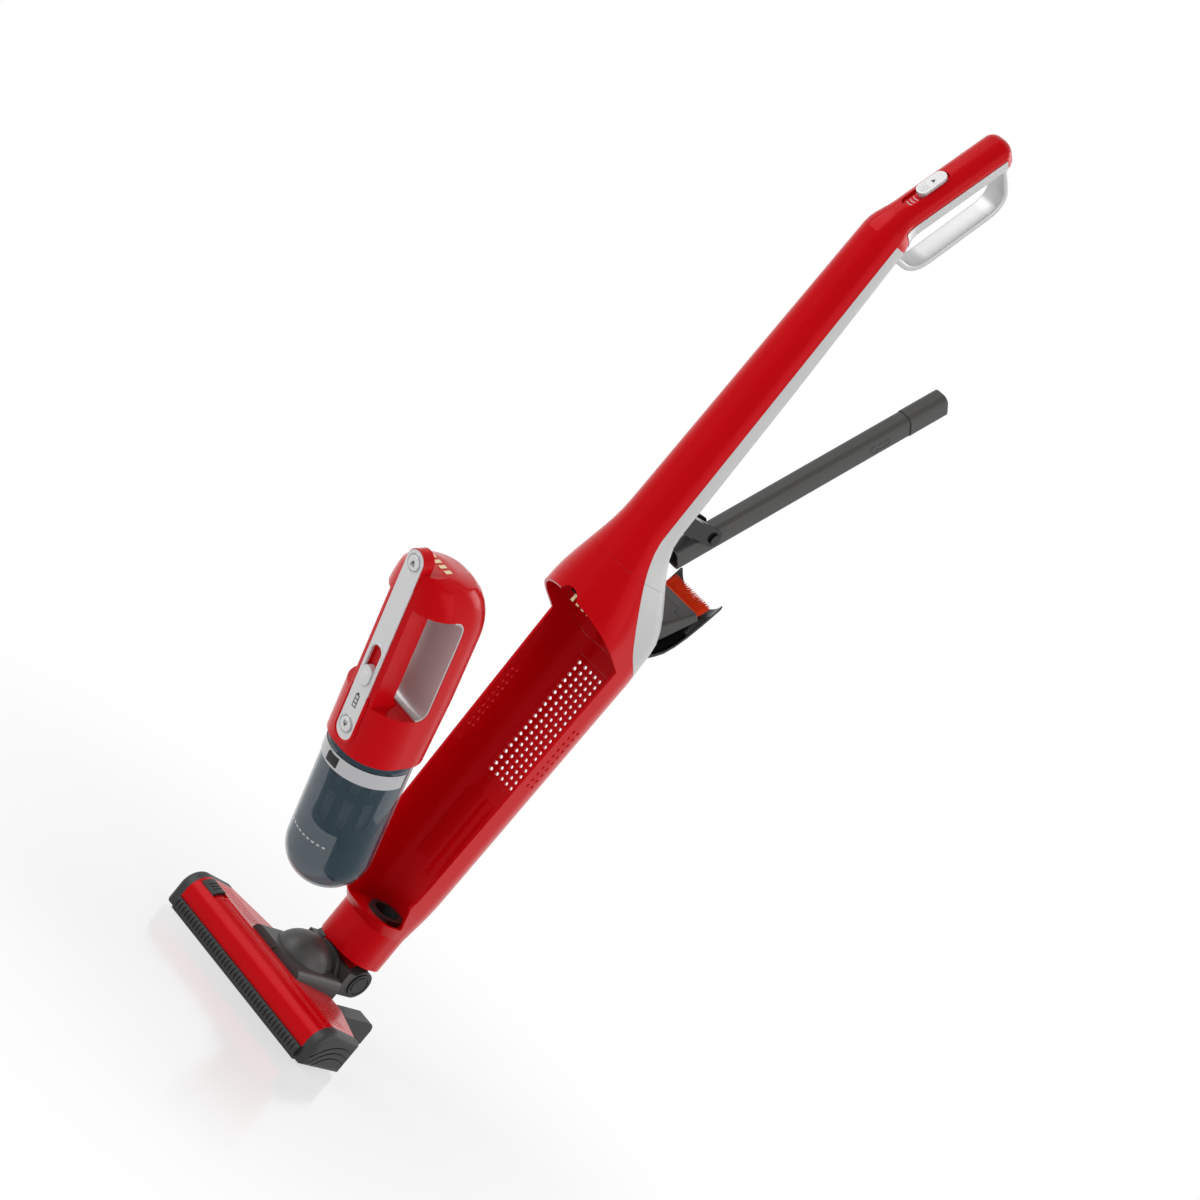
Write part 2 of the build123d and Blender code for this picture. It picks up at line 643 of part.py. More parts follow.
def stick_sections():
    """Sections of the stick from the spout to the tube's top: height, front, back and half width."""
    sections = [(SPOUT_LOW, SPOUT_FRONT, STICK_BACK + 2, SPOUT_HALF)]
    for step in range(BOWL_STEPS + 1):
        share = step / BOWL_STEPS
        bulge = 1 - (1 - share) ** 2
        sections.append((
            BOWL_LOW_Z + share * (BOWL_TOP_Z - BOWL_LOW_Z),
            SPOUT_FRONT - bulge * (SPOUT_FRONT - HOOD_FRONT) * 0.6,
            blend(STICK_BACK + 2, STICK_BACK, share),
            SPOUT_HALF + bulge * (CRADLE_LOW_HALF - SPOUT_HALF),
        ))
    sections.append((HOOD_EDGE_BACK_Z, HOOD_FRONT, STICK_BACK, CRADLE_HALF))
    for step in range(HOOD_STEPS + 1):
        share = step / HOOD_STEPS
        sections.append((
            HOOD_FULL_Z + share * (TUBE_LOW_Z - HOOD_FULL_Z),
            blend(HOOD_FRONT, TUBE_FRONT, share),
            blend(STICK_BACK - 3, TUBE_BACK + 4, share),
            blend(CRADLE_HALF, TUBE_LOW_HALF, share),
        ))
    sections.append((TUBE_MID_Z, TUBE_FRONT, TUBE_BACK, TUBE_HALF))
    sections.append((TUBE_TOP_Z, TUBE_FRONT, TUBE_TOP_BACK, TUBE_TOP_HALF))
    return sections


def section_hull(sections, inset):
    """A hull through level round-cornered sections, each drawn in by inset."""
    steps = []
    for z, front, back, half in sections:
        depth = back - front - 2 * inset
        width = 2 * half - 2 * inset
        corner = CORNER_SHARE * min(depth, width) / 2
        steps.append(Pos(0, (front + back) / 2, z) * RectangleRounded(width, depth, corner))
    return loft(steps, ruled=True)


def stick_hull(inset):
    return section_hull(stick_sections(), inset)


def z_slab(low, high):
    return box(-200, 200, -300, 300, low, high)


def spine_region(grow):
    """The side outline behind the line where the silver spine meets the red shells."""
    top = TUBE_TOP_Z + 2
    start = (SPINE_EDGE_Y + 2 - grow, TUBE_LOW_Z)
    middle = (SPINE_EDGE_Y + 33 - grow, SEAM_Z - 46)
    end = (STICK_BACK - 12 - grow, SPINE_POINT_Z - grow)
    edges = [
        Line((SPINE_EDGE_Y - grow, top), start),
        ThreePointArc(start, middle, end),
        Line(end, (STICK_BACK + 40, SPINE_POINT_Z - grow)),
        Line((STICK_BACK + 40, SPINE_POINT_Z - grow), (STICK_BACK + 40, top)),
        Line((STICK_BACK + 40, top), (SPINE_EDGE_Y - grow, top)),
    ]
    return side_prism(make_face(edges), 200)


def cradle_opening():
    front = HOOD_FRONT - 40
    slope = (HOOD_EDGE_FRONT_Z - HOOD_EDGE_BACK_Z) / (RIM_Y + 16 - HOOD_FRONT)
    outline = polygon(
        (front, HOOD_EDGE_FRONT_Z + slope * 40), (RIM_Y, HOOD_EDGE_BACK_Z + slope * 16), (RIM_Y, LIP_Z + 30),
        (RIM_Y + 22, LIP_Z), (front, LIP_Z - 20),
    )
    notch = rod_y(NOTCH_R, front, HOOD_FRONT + 25, 0, NOTCH_Z)
    return side_prism(outline, 200) + notch


def bay_mouth(grow):
    half = FLAP_HALF + grow
    return box(-half, half, BULKHEAD_Y, STICK_BACK + 40, FLAP_LOW - grow, FLAP_TOP + grow)


def vent_window(grow):
    high = VENT_LOW + (VENT_ROWS + 1) * VENT_PITCH
    return box(-VENT_HALF - grow, VENT_HALF + grow, RIM_Y + 20, STICK_BACK + 40, VENT_LOW - grow, high + grow)


def stick_shell():
    return STICK_OUTER - STICK_INNER


STICK_OUTER = stick_hull(0)
STICK_INNER = stick_hull(WALL)


def hinge_room(grow):
    half = FLAP_KNUCKLE_HALF + grow
    return rod_x(FLAP_KNUCKLE_R + grow, -half, half, FLAP_HINGE_Y, FLAP_LOW)


def hinge_lugs(grow):
    """The two lugs that carry the flap's pin, beside its knuckle."""
    near = FLAP_KNUCKLE_HALF + SLIDE_FIT - grow
    far = FLAP_PIN_HALF + grow
    lug = rod_x(FLAP_KNUCKLE_R + grow, near, far, FLAP_HINGE_Y, FLAP_LOW)
    lug += box(near, far, FLAP_HINGE_Y - 4 - grow, FLAP_HINGE_Y + 2, SPINE_POINT_Z + 8, FLAP_LOW)
    return both_sides(lug)


def cradle_moulding():
    shell = stick_shell() & z_slab(SPOUT_LOW, SEAM_Z - SEAT / 2)
    shell -= spine_region(SEAT)
    floor = STICK_INNER & z_slab(FLOOR_TOP - WALL, FLOOR_TOP)
    shell += floor - rod_z(SOCKET_BORE + 2.5, 0, FLOOR_TOP + 9, 0, SOCKET_Y)
    foot = STICK_OUTER & z_slab(SPOUT_LOW, SPOUT_LOW + WALL)
    shell += foot
    tongue = rod_x(EAR_R - 0.6, -TONGUE_HALF, TONGUE_HALF, PIVOT_Y, PIVOT_Z)
    front = PIVOT_Y - 0.7 * EAR_R
    tongue += box(-TONGUE_HALF, TONGUE_HALF, front, PIVOT_Y + EAR_R - 1, PIVOT_Z, SPOUT_LOW + WALL)
    shell += tongue - rod_x(PIVOT_PIN_R + RUN_FIT, -60, 60, PIVOT_Y, PIVOT_Z)
    top = SEAM_Z - SEAT / 2
    bulkhead = box(-CRADLE_HALF, CRADLE_HALF, BULKHEAD_Y - WALL, BULKHEAD_Y, HOOD_EDGE_FRONT_Z, top)
    shell += bulkhead & STICK_INNER
    shell -= cradle_opening()
    shell -= vent_window(SEAT)
    shell -= bay_mouth(SLIDE_FIT)
    shell -= hinge_room(SLIDE_FIT)
    holes = []
    for row in range(SIDE_VENT_ROWS):
        for column in range(SIDE_VENT_COLUMNS):
            z = VENT_LOW + 36 + row * VENT_PITCH
            holes.append(rod_x(VENT_R, -200, 200, RIM_Y + 12 + column * VENT_PITCH, z))
    return shell - holes


def make_cradle():
    """The cradle's moulding in three lengths that meet at flat seams."""
    whole = cradle_moulding()
    return {
        "cradle_foot": whole & z_slab(0, CRADLE_FOOT_TOP),
        "cradle_shell": whole & z_slab(CRADLE_FOOT_TOP, CRADLE_HOOD_LOW),
        "cradle_hood": whole & z_slab(CRADLE_HOOD_LOW, SEAM_Z),
    }


def make_vent_grille():
    grille = stick_shell() & vent_window(0)
    holes = []
    for row in range(VENT_ROWS):
        for column in range(VENT_COLUMNS):
            x = (column - (VENT_COLUMNS - 1) / 2) * VENT_PITCH
            z = VENT_LOW + VENT_PITCH * (row + 1)
            holes.append(rod_y(VENT_R, RIM_Y, STICK_BACK + 40, x, z))
    return grille - holes


def make_tube_front_shell():
    shell = stick_shell() & z_slab(SEAM_Z + SEAT / 2, TUBE_TOP_Z)
    return shell - spine_region(SEAT)


def tool_channel():
    half = CHANNEL_HALF + 2
    trough = box(-half, half, CHANNEL_FLOOR - 2, STICK_BACK, FLAP_TOP + 3, CHANNEL_TOP + 2)
    return trough & STICK_OUTER


def channel_room():
    return box(-CHANNEL_HALF, CHANNEL_HALF, CHANNEL_FLOOR, STICK_BACK + 40, FLAP_TOP + 5, CHANNEL_TOP)


def make_spine(low, high):
    spine = (stick_shell() & spine_region(0)) & z_slab(low, high)
    spine += tool_channel() & z_slab(low, high)
    spine -= channel_room()
    spine -= bay_mouth(SLIDE_FIT)
    spine -= hinge_room(SLIDE_FIT)
    if low < FLAP_LOW:
        spine += hinge_lugs(0)
        spine -= rod_x(FLAP_PIN_R + RUN_FIT / 2, -200, 200, FLAP_HINGE_Y, FLAP_LOW)
    return spine


def grip_plane(along):
    """A plane across the leaning grip, along mm up from the end of its bend."""
    lean = radians(GRIP_LEAN)
    y = GRIP_START_Y + along * sin(lean)
    z = GRIP_START_Z + along * cos(lean)
    return Plane(origin=(0, y, z), x_dir=(1, 0, 0), z_dir=(0, sin(lean), cos(lean)))


def grip_hull(inset, length):
    """The handle's hull, bent back from the tube's top to the leaning grip."""
    middle = (TUBE_FRONT + TUBE_TOP_BACK) / 2
    depth = TUBE_TOP_BACK - TUBE_FRONT
    steps = []
    for step in range(GRIP_STEPS + 1):
        share = step / GRIP_STEPS
        lean = radians(GRIP_LEAN) * share
        bend_y = middle + GRIP_BEND_R * (1 - cos(lean))
        bend_z = TUBE_TOP_Z + GRIP_BEND_R * sin(lean)
        plane = Plane(origin=(0, bend_y, bend_z), x_dir=(1, 0, 0), z_dir=(0, sin(lean), cos(lean)))
        half = blend(TUBE_TOP_HALF, GRIP_HALF, share) - inset
        deep = blend(depth, GRIP_DEPTH, share) - 2 * inset
        corner = CORNER_SHARE * min(half, deep / 2)
        steps.append(plane * RectangleRounded(2 * half, deep, corner))
    half = GRIP_HALF - inset
    deep = GRIP_DEPTH - 2 * inset
    end = grip_plane(length) * RectangleRounded(2 * half, deep, CORNER_SHARE * min(half, deep / 2))
    return loft(steps + [end], ruled=True)


def slot_tool(length, width, deep, proud):
    """A round-ended block on the grip's front face, measured along the grip."""
    plane = grip_plane(SLOT_ALONG)
    face = Plane(
        origin=plane.origin + plane.y_dir * (-GRIP_DEPTH / 2 - proud), x_dir=plane.z_dir, z_dir=plane.y_dir
    )
    return extrude(face * SlotOverall(length, width), amount=deep + proud)


def make_handle_grip():
    outer = grip_hull(0, GRIP_LENGTH)
    end_edges = outer.faces().sort_by(Axis.Z)[-1].edges()
    grip = fillet(end_edges, GRIP_ROUND) - grip_hull(WALL, GRIP_LENGTH - GRIP_ROUND)
    pocket = slot_tool(SLOT_LENGTH + 2 * WALL, SLOT_WIDTH + 2 * WALL, SLOT_DEPTH + WALL, 6)
    grip += pocket & grip_hull(WALL - 0.5, GRIP_LENGTH - GRIP_ROUND)
    return grip - slot_tool(SLOT_LENGTH, SLOT_WIDTH, SLOT_DEPTH, 20)


def make_power_slider():
    back = (SLOT_LENGTH - SLIDER_LENGTH - SLIDER_TRAVEL) / 2
    slider = slot_tool(SLIDER_LENGTH, SLOT_WIDTH - 2 * SLIDE_FIT, SLOT_DEPTH - SEAT, SLIDER_PROUD)
    shift = grip_plane(SLOT_ALONG).z_dir * ((SLOT_LENGTH - SLIDER_LENGTH) / 2 - back)
    return Pos(shift.X, shift.Y, shift.Z) * slider


def make_switch_board():
    plane = grip_plane(SLOT_ALONG)
    face = Plane(
        origin=plane.origin + plane.y_dir * (-GRIP_DEPTH / 2 + SLOT_DEPTH + WALL),
        x_dir=plane.z_dir, z_dir=plane.y_dir,
    )
    return extrude(face * Rectangle(SLOT_LENGTH - 6, SLOT_WIDTH), amount=BOARD_THICK)


def make_handle_loop():
    top = grip_plane(GRIP_LENGTH - 12).origin
    reach = GRIP_DEPTH * 0.5 + 46
    back_top = grip_plane(GRIP_LENGTH - 28)
    back_low = grip_plane(4)
    corner_top = back_top.origin + back_top.y_dir * reach
    corner_low = back_low.origin + back_low.y_dir * (reach + 2)
    route = [
        (TUBE_BACK - 22, CHANNEL_TOP + 9),
        (corner_low.Y - 8, CHANNEL_TOP + 9),
        (corner_low.Y, corner_low.Z),
        (corner_top.Y, corner_top.Z),
        (corner_top.Y - 9, corner_top.Z + 22),
        (top.Y, top.Z),
    ]
    strap = trace(FilletPolyline(*route, radius=LOOP_ROUND * 0.6), LOOP_THICK)
    loop = side_prism(strap, LOOP_WIDTH / 2)
    loop -= grip_hull(0, GRIP_LENGTH)
    loop -= STICK_OUTER
    return loop.solids().sort_by(SortBy.VOLUME)[-1]


def make_dock_socket():
    socket = rod_z(SOCKET_R, FLOOR_TOP, SOCKET_TOP + 9, 0, SOCKET_Y)
    lean = Pos(0, SOCKET_Y, SOCKET_TOP) * Rot(HAND_DOCK_LEAN, 0, 0)
    socket -= lean * Pos(0, 0, 20) * Box(200, 200, 40)
    socket += rod_z(SOCKET_BORE + 2.3, FLOOR_TOP - 14, FLOOR_TOP, 0, SOCKET_Y)
    return socket - rod_z(SOCKET_BORE, 0, FLOOR_TOP + 90, 0, SOCKET_Y)


def contact_place(index):
    return (index - (CONTACT_COUNT - 1) / 2) * CONTACT_PITCH


def make_contact_block():
    reach = CONTACT_PITCH * CONTACT_COUNT / 2
    block = box(-reach, reach, CONTACT_Y - 7, BULKHEAD_Y - WALL, CONTACT_Z, CONTACT_Z + 9)
    for index in range(CONTACT_COUNT):
        block -= rod_z(CONTACT_R, CONTACT_Z - 1, CONTACT_Z + 6, contact_place(index), CONTACT_Y)
    return block


def make_contact_springs():
    springs = []
    for index in range(CONTACT_COUNT):
        x = contact_place(index)
        springs.append(rod_z(CONTACT_R - RUN_FIT, CONTACT_Z - CONTACT_REACH, CONTACT_Z + 5.8, x, CONTACT_Y))
    return Compound(children=springs)


def make_tool_clip():
    cheek = box(
        TOOL_HALF + SLIDE_FIT, TOOL_HALF + SLIDE_FIT + CLIP_THICK,
        TUBE_BACK - 4, CLIP_REACH, CLIP_LOW, CLIP_LOW + CLIP_HEIGHT,
    )
    cheek = fillet(cheek.edges().filter_by(Axis.X).group_by(Axis.Y)[-1], CLIP_HEIGHT * 0.45)
    outer = TOOL_HALF + SLIDE_FIT + CLIP_THICK
    middle = CLIP_LOW + CLIP_HEIGHT / 2
    for y in (TUBE_BACK + 16, CLIP_REACH - CLIP_HEIGHT / 2):
        cheek += rod_x(CLIP_BOSS_R, outer - 1, outer + CLIP_BOSS_PROUD, y, middle)
    foot = box(CHANNEL_HALF + 1, outer + 9, TUBE_BACK - 12, TUBE_BACK + 14, CLIP_LOW, CLIP_LOW + CLIP_HEIGHT)
    clip = cheek + foot - STICK_OUTER
    clip -= tool_channel()
    return Compound(children=[clip, mirror(clip, about=Plane.YZ)])


# Crevice tool, stowed upright and then swung out

TOOL_REST = Pos(0, TOOL_POLE_Y, TOOL_POLE_Z) * Rot(-TOOL_SWING, 0, 0) * Pos(0, -TOOL_POLE_Y, -TOOL_POLE_Z)


def tool_bar(inset, low, high):
    width = 2 * TOOL_HALF - 2 * inset
    depth = TOOL_DEPTH - 2 * inset
    steps = [
        Pos(0, TOOL_MID_Y, low) * RectangleRounded(width, depth, width * 0.36),
        Pos(0, TOOL_MID_Y, high) * RectangleRounded(width, depth, width * 0.36),
    ]
    return loft(steps)


def make_crevice_tool():
    tool = tool_bar(0, TOOL_LOW_Z, TOOL_JOINT_Z) - tool_bar(TOOL_WALL, TOOL_LOW_Z - 1, TOOL_JOINT_Z + 1)
    slant = Pos(0, TOOL_FRONT, TOOL_LOW_Z) * Rot(-22, 0, 0) * Pos(0, 0, -20) * Box(100, 120, 40)
    tool -= slant
    return TOOL_REST * tool


def make_crevice_collar():
    top = TOOL_LOW_Z + TOOL_LENGTH
    collar = tool_bar(0.5, TOOL_JOINT_Z, TOOL_JOINT_Z + 3) + tool_bar(-0.6, TOOL_JOINT_Z + 3, top)
    collar -= tool_bar(TOOL_WALL, TOOL_JOINT_Z - 1, top + 1)
    return TOOL_REST * collar


# Storage flap, cut from the closed bay and then opened

FLAP_REST = Pos(0, FLAP_HINGE_Y, FLAP_LOW) * Rot(-FLAP_OPEN, 0, 0) * Pos(0, -FLAP_HINGE_Y, -FLAP_LOW)


def make_storage_flap():
    flap = stick_shell() & bay_mouth(0)
    flap -= channel_room()
    flap = flap.solids().sort_by(Axis.Y)[-1]
    knuckle = rod_x(FLAP_KNUCKLE_R, -FLAP_KNUCKLE_HALF, FLAP_KNUCKLE_HALF, FLAP_HINGE_Y, FLAP_LOW)
    flap -= hinge_lugs(SLIDE_FIT)
    flap += knuckle
    flap += brush_seat()
    flap -= rod_x(FLAP_PIN_R + RUN_FIT, -200, 200, FLAP_HINGE_Y, FLAP_LOW)
    return FLAP_REST * flap


def make_flap_pin():
    return rod_x(FLAP_PIN_R, -FLAP_PIN_HALF, FLAP_PIN_HALF, FLAP_HINGE_Y, FLAP_LOW)


def flap_plane(along):
    """A plane across the closed flap's inner side, along mm up from its hinge."""
    lean = radians(FLAP_LEAN)
    y = FLAP_HINGE_Y - BRUSH_OFF - along * sin(lean)
    z = FLAP_LOW + along * cos(lean)
    return Plane(origin=(0, y, z), x_dir=(1, 0, 0), z_dir=(0, -sin(lean), cos(lean)))


def brush_seat():
    """The block inside the closed flap that the brush lies on."""
    plane = flap_plane(BRUSH_START + 6)
    deep = 2 * BRUSH_THICK
    face = Pos(0, SLIDE_FIT + deep / 2) * Rectangle(2 * BRUSH_SEAT_HALF, deep)
    seat = extrude(plane * face, amount=BRUSH_SEAT_LENGTH)
    return seat & STICK_OUTER & bay_mouth(0)


def make_brush_body():
    low = flap_plane(BRUSH_START) * Pos(0, -BRUSH_THICK / 2)
    high = flap_plane(BRUSH_START + BRUSH_LENGTH) * Pos(0, -BRUSH_TIP_THICK / 2)
    steps = [
        low * RectangleRounded(2 * BRUSH_HALF - 8, BRUSH_THICK, 6),
        high * RectangleRounded(2 * BRUSH_HALF, BRUSH_TIP_THICK, 4),
    ]
    return FLAP_REST * loft(steps)


def make_brush_bristles():
    base = flap_plane(BRUSH_START + BRUSH_LENGTH)
    deep = BRUSH_TIP_THICK - 3
    wide = 2 * BRUSH_HALF - 6
    middle = base * Pos(0, -BRUSH_TIP_THICK / 2)
    backing = extrude(middle * Rectangle(wide, deep), amount=BRISTLE_BACKING)
    spots = GridLocations(wide / BRISTLE_COLUMNS, deep / BRISTLE_ROWS, BRISTLE_COLUMNS, BRISTLE_ROWS)
    feet = Sketch() + [spot * Rectangle(BRISTLE_SIZE, BRISTLE_SIZE) for spot in spots]
    strands = extrude(middle * feet, amount=BRISTLE_LENGTH)
    return FLAP_REST * (backing + strands)


# Handheld cleaner, docked upright and then tipped out

HAND_DOCKED = Pos(0, HAND_NOSE_Y, HAND_NOSE_Z) * Rot(HAND_DOCK_LEAN, 0, 0)
HAND_POLE = Pos(0, HAND_POLE_Y, HAND_POLE_Z)
HAND_REST = HAND_POLE * Rot(HAND_SWING, 0, 0) * HAND_POLE.inverse() * HAND_DOCKED


def cup_hull(inset, top):
    """The cup's bullet shape: a straight wall over a half-round nose."""
    radius = CUP_R - inset
    return Pos(0, 0, CUP_R) * Sphere(radius) + rod_z(radius, CUP_R, top, 0, 0)


def make_dust_container():
    cup = cup_hull(0, CUP_TOP) - cup_hull(CUP_WALL, CUP_TOP + 1)
    return HAND_REST * (cup - rod_z(INLET_R + SEAT / 2, -60, INLET_TOP + 1, 0, INLET_Y))


def make_inlet_duct():
    duct = rod_z(INLET_R, INLET_LOW, INLET_TOP, 0, INLET_Y)
    duct -= rod_z(INLET_BORE, INLET_LOW - 1, INLET_TOP - 16, 0, INLET_Y)
    duct -= rod_y(INLET_BORE - 3, -60, INLET_Y, 0, INLET_TOP - 20)
    return HAND_REST * duct


def make_container_band():
    band = rod_z(CUP_R + SEAT / 4 + BAND_THICK, BAND_LOW, BAND_LOW + BAND_HEIGHT, 0, 0)
    band -= rod_z(CUP_R + SEAT / 4, 0, CUP_TOP, 0, 0)
    return HAND_REST * (band & box(-90, 90, -90, 12, 0, 300))


def make_filter_cage():
    inside = CUP_R - CUP_WALL - SEAT / 2
    cage = rod_z(inside, CUP_TOP - 8, CUP_TOP - 4, 0, 0)
    cage += rod_z(CAGE_R, CAGE_LOW, CUP_TOP - 6, 0, 0)
    cage -= rod_z(CAGE_R - 2.5, CAGE_LOW + 3, CUP_TOP, 0, 0)
    for row in range(2):
        low = CAGE_LOW + 9 + row * 44
        for rib in range(CAGE_RIBS // 2):
            turn = Rot(0, 0, 180.0 * rib / (CAGE_RIBS // 2))
            cage -= turn * box(-8, 8, -CAGE_R - 5, CAGE_R + 5, low, low + 36)
    return HAND_REST * cage


def make_filter_element():
    points = []
    for pleat in range(2 * FILTER_PLEATS):
        radius = FILTER_R if pleat % 2 == 0 else FILTER_R - FILTER_PLEAT_DEPTH
        angle = radians(180.0 * pleat / FILTER_PLEATS)
        points.append((radius * cos(angle), radius * sin(angle)))
    low = CAGE_LOW + 3
    element = extrude(Pos(0, 0, low) * polygon(*points), amount=CUP_TOP - 12 - low)
    return HAND_REST * (element - rod_z(FILTER_R - FILTER_PLEAT_DEPTH - 4, low + 4, CUP_TOP, 0, 0))


def make_container_seal():
    inside = CUP_R - CUP_WALL - SEAT / 2
    seal = rod_z(inside, CUP_TOP - 4, CUP_TOP - 4 + SEAL_HEIGHT, 0, 0)
    return HAND_REST * (seal - rod_z(CAGE_R, 0, CUP_TOP + 9, 0, 0))


def housing_hull(inset):
    sections = [
        (HOUSING_LOW + inset, HOUSING_FRONT, HOUSING_BACK - 4, HOUSING_HALF),
        ((HOUSING_LOW + HOUSING_SHOULDER_Z) / 2, HOUSING_FRONT, HOUSING_BACK, HOUSING_HALF),
    ]
    for step in range(HOUSING_STEPS + 1):
        share = step / HOUSING_STEPS
        round_off = 1 - (1 - share * share) ** 0.5
        sections.append((
            HOUSING_SHOULDER_Z + share * (HOUSING_TOP - inset - HOUSING_SHOULDER_Z),
            HOUSING_FRONT,
            HOUSING_BACK - round_off * (HOUSING_BACK - HOUSING_TOP_BACK),
            HOUSING_HALF - round_off * (HOUSING_HALF - HOUSING_TOP_HALF),
        ))
    return section_hull(sections, inset)


def opening_prism(grow, front, half):
    face = Pos((front + OPENING_BACK) / 2, (OPENING_LOW + OPENING_TOP) / 2) * RectangleRounded(
        OPENING_BACK - front + 2 * grow, OPENING_TOP - OPENING_LOW + 2 * grow, OPENING_ROUND + grow
    )
    return side_prism(face, half)


def bar_sides(grow):
    """The finger room beside the front bar, open to the front on both sides."""
    room = opening_prism(grow, HOUSING_FRONT - 60, 200)
    half = BAR_HALF - grow
    return room - box(-half, half, HOUSING_FRONT - 90, OPENING_FRONT + 8, 0, HOUSING_TOP + 90)


def front_tongue():
    half = STRIP_HALF + 1
    back = HOUSING_FRONT + TONGUE_DEPTH
    tongue = box(-half, half, HOUSING_FRONT, back, HOUSING_TOP - 20, STRIP_END_Z)
    return tongue + rod_y(half, HOUSING_FRONT, back, 0, STRIP_END_Z)


def strip_shape(grow, front, back):
    half = STRIP_HALF + grow
    low = STRIP_LOW + STRIP_HALF
    strip = box(-half, half, front, back, low, STRIP_END_Z)
    for z in (low, STRIP_END_Z):
        strip += rod_y(half, front, back, 0, z)
    return strip


def hand_slot(front, back):
    low = HAND_SLOT_LOW + HAND_SLOT_HALF
    high = HAND_SLOT_TOP - HAND_SLOT_HALF
    slot = box(-HAND_SLOT_HALF, HAND_SLOT_HALF, front, back, low, high)
    for z in (low, high):
        slot += rod_y(HAND_SLOT_HALF, front, back, 0, z)
    return slot


def housing_core():
    """The housing before it is hollowed, with the opening and the finger rooms taken out."""
    core = housing_hull(0) + front_tongue()
    core -= opening_prism(0, OPENING_FRONT, 200)
    return core - bar_sides(0)


def housing_cavity():
    cavity = housing_hull(WALL)
    cavity -= opening_prism(WALL, OPENING_FRONT, 200)
    cavity -= bar_sides(WALL)
    cavity = cavity & box(-90, 90, POCKET_BACK + WALL, 90, 0, 600)
    ring = rod_z(FAN_ROOM_R + WALL, HOUSING_LOW - 1, MOTOR_TOP, 0, 0)
    return cavity - (ring & box(-90, 90, -90, OPENING_BACK, 0, 600))


def housing_low_room():
    return rod_z(FAN_ROOM_R, HOUSING_LOW - 1, MOTOR_TOP, 0, 0)


def make_hand_housing():
    shell = housing_core() - housing_cavity()
    shell -= housing_low_room()
    shell -= strip_shape(SEAT / 2, HOUSING_FRONT - 9, STRIP_BACK)
    for z in BUTTON_PLACES:
        shell -= rod_y(BUTTON_R + SLIDE_FIT, HOUSING_FRONT - 9, POCKET_BACK, 0, z)
    shell -= hand_slot(HOUSING_FRONT - 9, STRIP_BACK + 2)
    return HAND_REST * shell


def make_grip_lining():
    lining = opening_prism(-SEAT / 4, OPENING_FRONT, 200) - opening_prism(-LINING_WALL, OPENING_FRONT, 201)
    lining -= box(-200, 200, -200, OPENING_FRONT + OPENING_ROUND, 0, 600)
    lining = lining & housing_hull(0.4)
    return HAND_REST * lining


def make_front_strip():
    strip = strip_shape(0, STRIP_FACE, STRIP_BACK)
    for z in BUTTON_PLACES:
        strip -= rod_y(BUTTON_R + SLIDE_FIT, -90, 0, 0, z)
    return HAND_REST * (strip - hand_slot(-90, 0))


def make_hand_button(z):
    button = rod_y(BUTTON_R, STRIP_FACE - BUTTON_PROUD, BUTTON_BACK, 0, z)
    return HAND_REST * fillet(button.edges().group_by(Axis.Y)[0], 1)


def make_button_springs():
    height = SPRING_LENGTH - 2 * SEAT - SPRING_WIRE
    coil = Helix(pitch=height / SPRING_TURNS, height=height, radius=SPRING_R)
    section = Plane(origin=coil @ 0, z_dir=coil % 0) * Circle(SPRING_WIRE / 2)
    wire = sweep(section, path=coil)
    start = BUTTON_BACK + SEAT + SPRING_WIRE / 2
    return Compound(children=[HAND_REST * Pos(0, start, z) * Rot(-90, 0, 0) * wire for z in BUTTON_PLACES])


def make_hand_switch():
    half = HAND_SLOT_HALF - SLIDE_FIT
    low = HAND_SLOT_LOW + SLIDE_FIT + half
    front = STRIP_FACE - HAND_SWITCH_PROUD
    back = STRIP_BACK + 2 - SEAT
    switch = box(-half, half, front, back, low, low + HAND_SWITCH_LENGTH - 2 * half)
    switch += rod_y(half, front, back, 0, low)
    switch += rod_y(half, front, back, 0, low + HAND_SWITCH_LENGTH - 2 * half)
    return HAND_REST * switch


def make_impeller():
    fan = rod_z(FAN_R, FAN_Z, FAN_Z + 2, 0, 0)
    for blade in range(FAN_BLADES):
        turn = Rot(0, 0, 360.0 * blade / FAN_BLADES)
        fan += turn * box(FAN_HUB_R - 2, FAN_R - 2, -0.8, 0.8, FAN_Z + 1, FAN_Z + FAN_HEIGHT - 0.5)
    fan += rod_z(FAN_HUB_R, FAN_Z, FAN_Z + FAN_HEIGHT, 0, 0)
    return HAND_REST * (fan + rod_z(DRIVE_SHAFT_R, FAN_Z, FAN_Z + FAN_HEIGHT + 16, 0, 0))


def make_vacuum_motor():
    motor = rod_z(VAC_MOTOR_R, MOTOR_LOW, MOTOR_TOP, 0, 0)
    motor += rod_z(FAN_ROOM_R - SEAT / 4, MOTOR_TOP - 5, MOTOR_TOP, 0, 0)
    return HAND_REST * (motor - rod_z(DRIVE_SHAFT_R + RUN_FIT, 0, MOTOR_LOW + 16, 0, 0))


def make_battery_cells():
    return Compound(
        children=[HAND_REST * rod_z(CELL_R, CELL_LOW, CELL_LOW + CELL_LENGTH, x, y) for x, y in CELL_PLACES]
    )


def make_battery_holder():
    plates = []
    room = housing_hull(WALL + SEAT) & box(-90, 90, OPENING_BACK + WALL + SEAT, 90, 0, 600)
    for low in (HOLDER_LOW, CELL_LOW + CELL_LENGTH - HOLDER_THICK / 2):
        plate = room & z_slab(low, low + HOLDER_THICK)
        for x, y in CELL_PLACES:
            plate -= rod_z(CELL_R + RUN_FIT, CELL_LOW, CELL_LOW + CELL_LENGTH, x, y)
        plates.append(HAND_REST * plate)
    return Compound(children=plates)


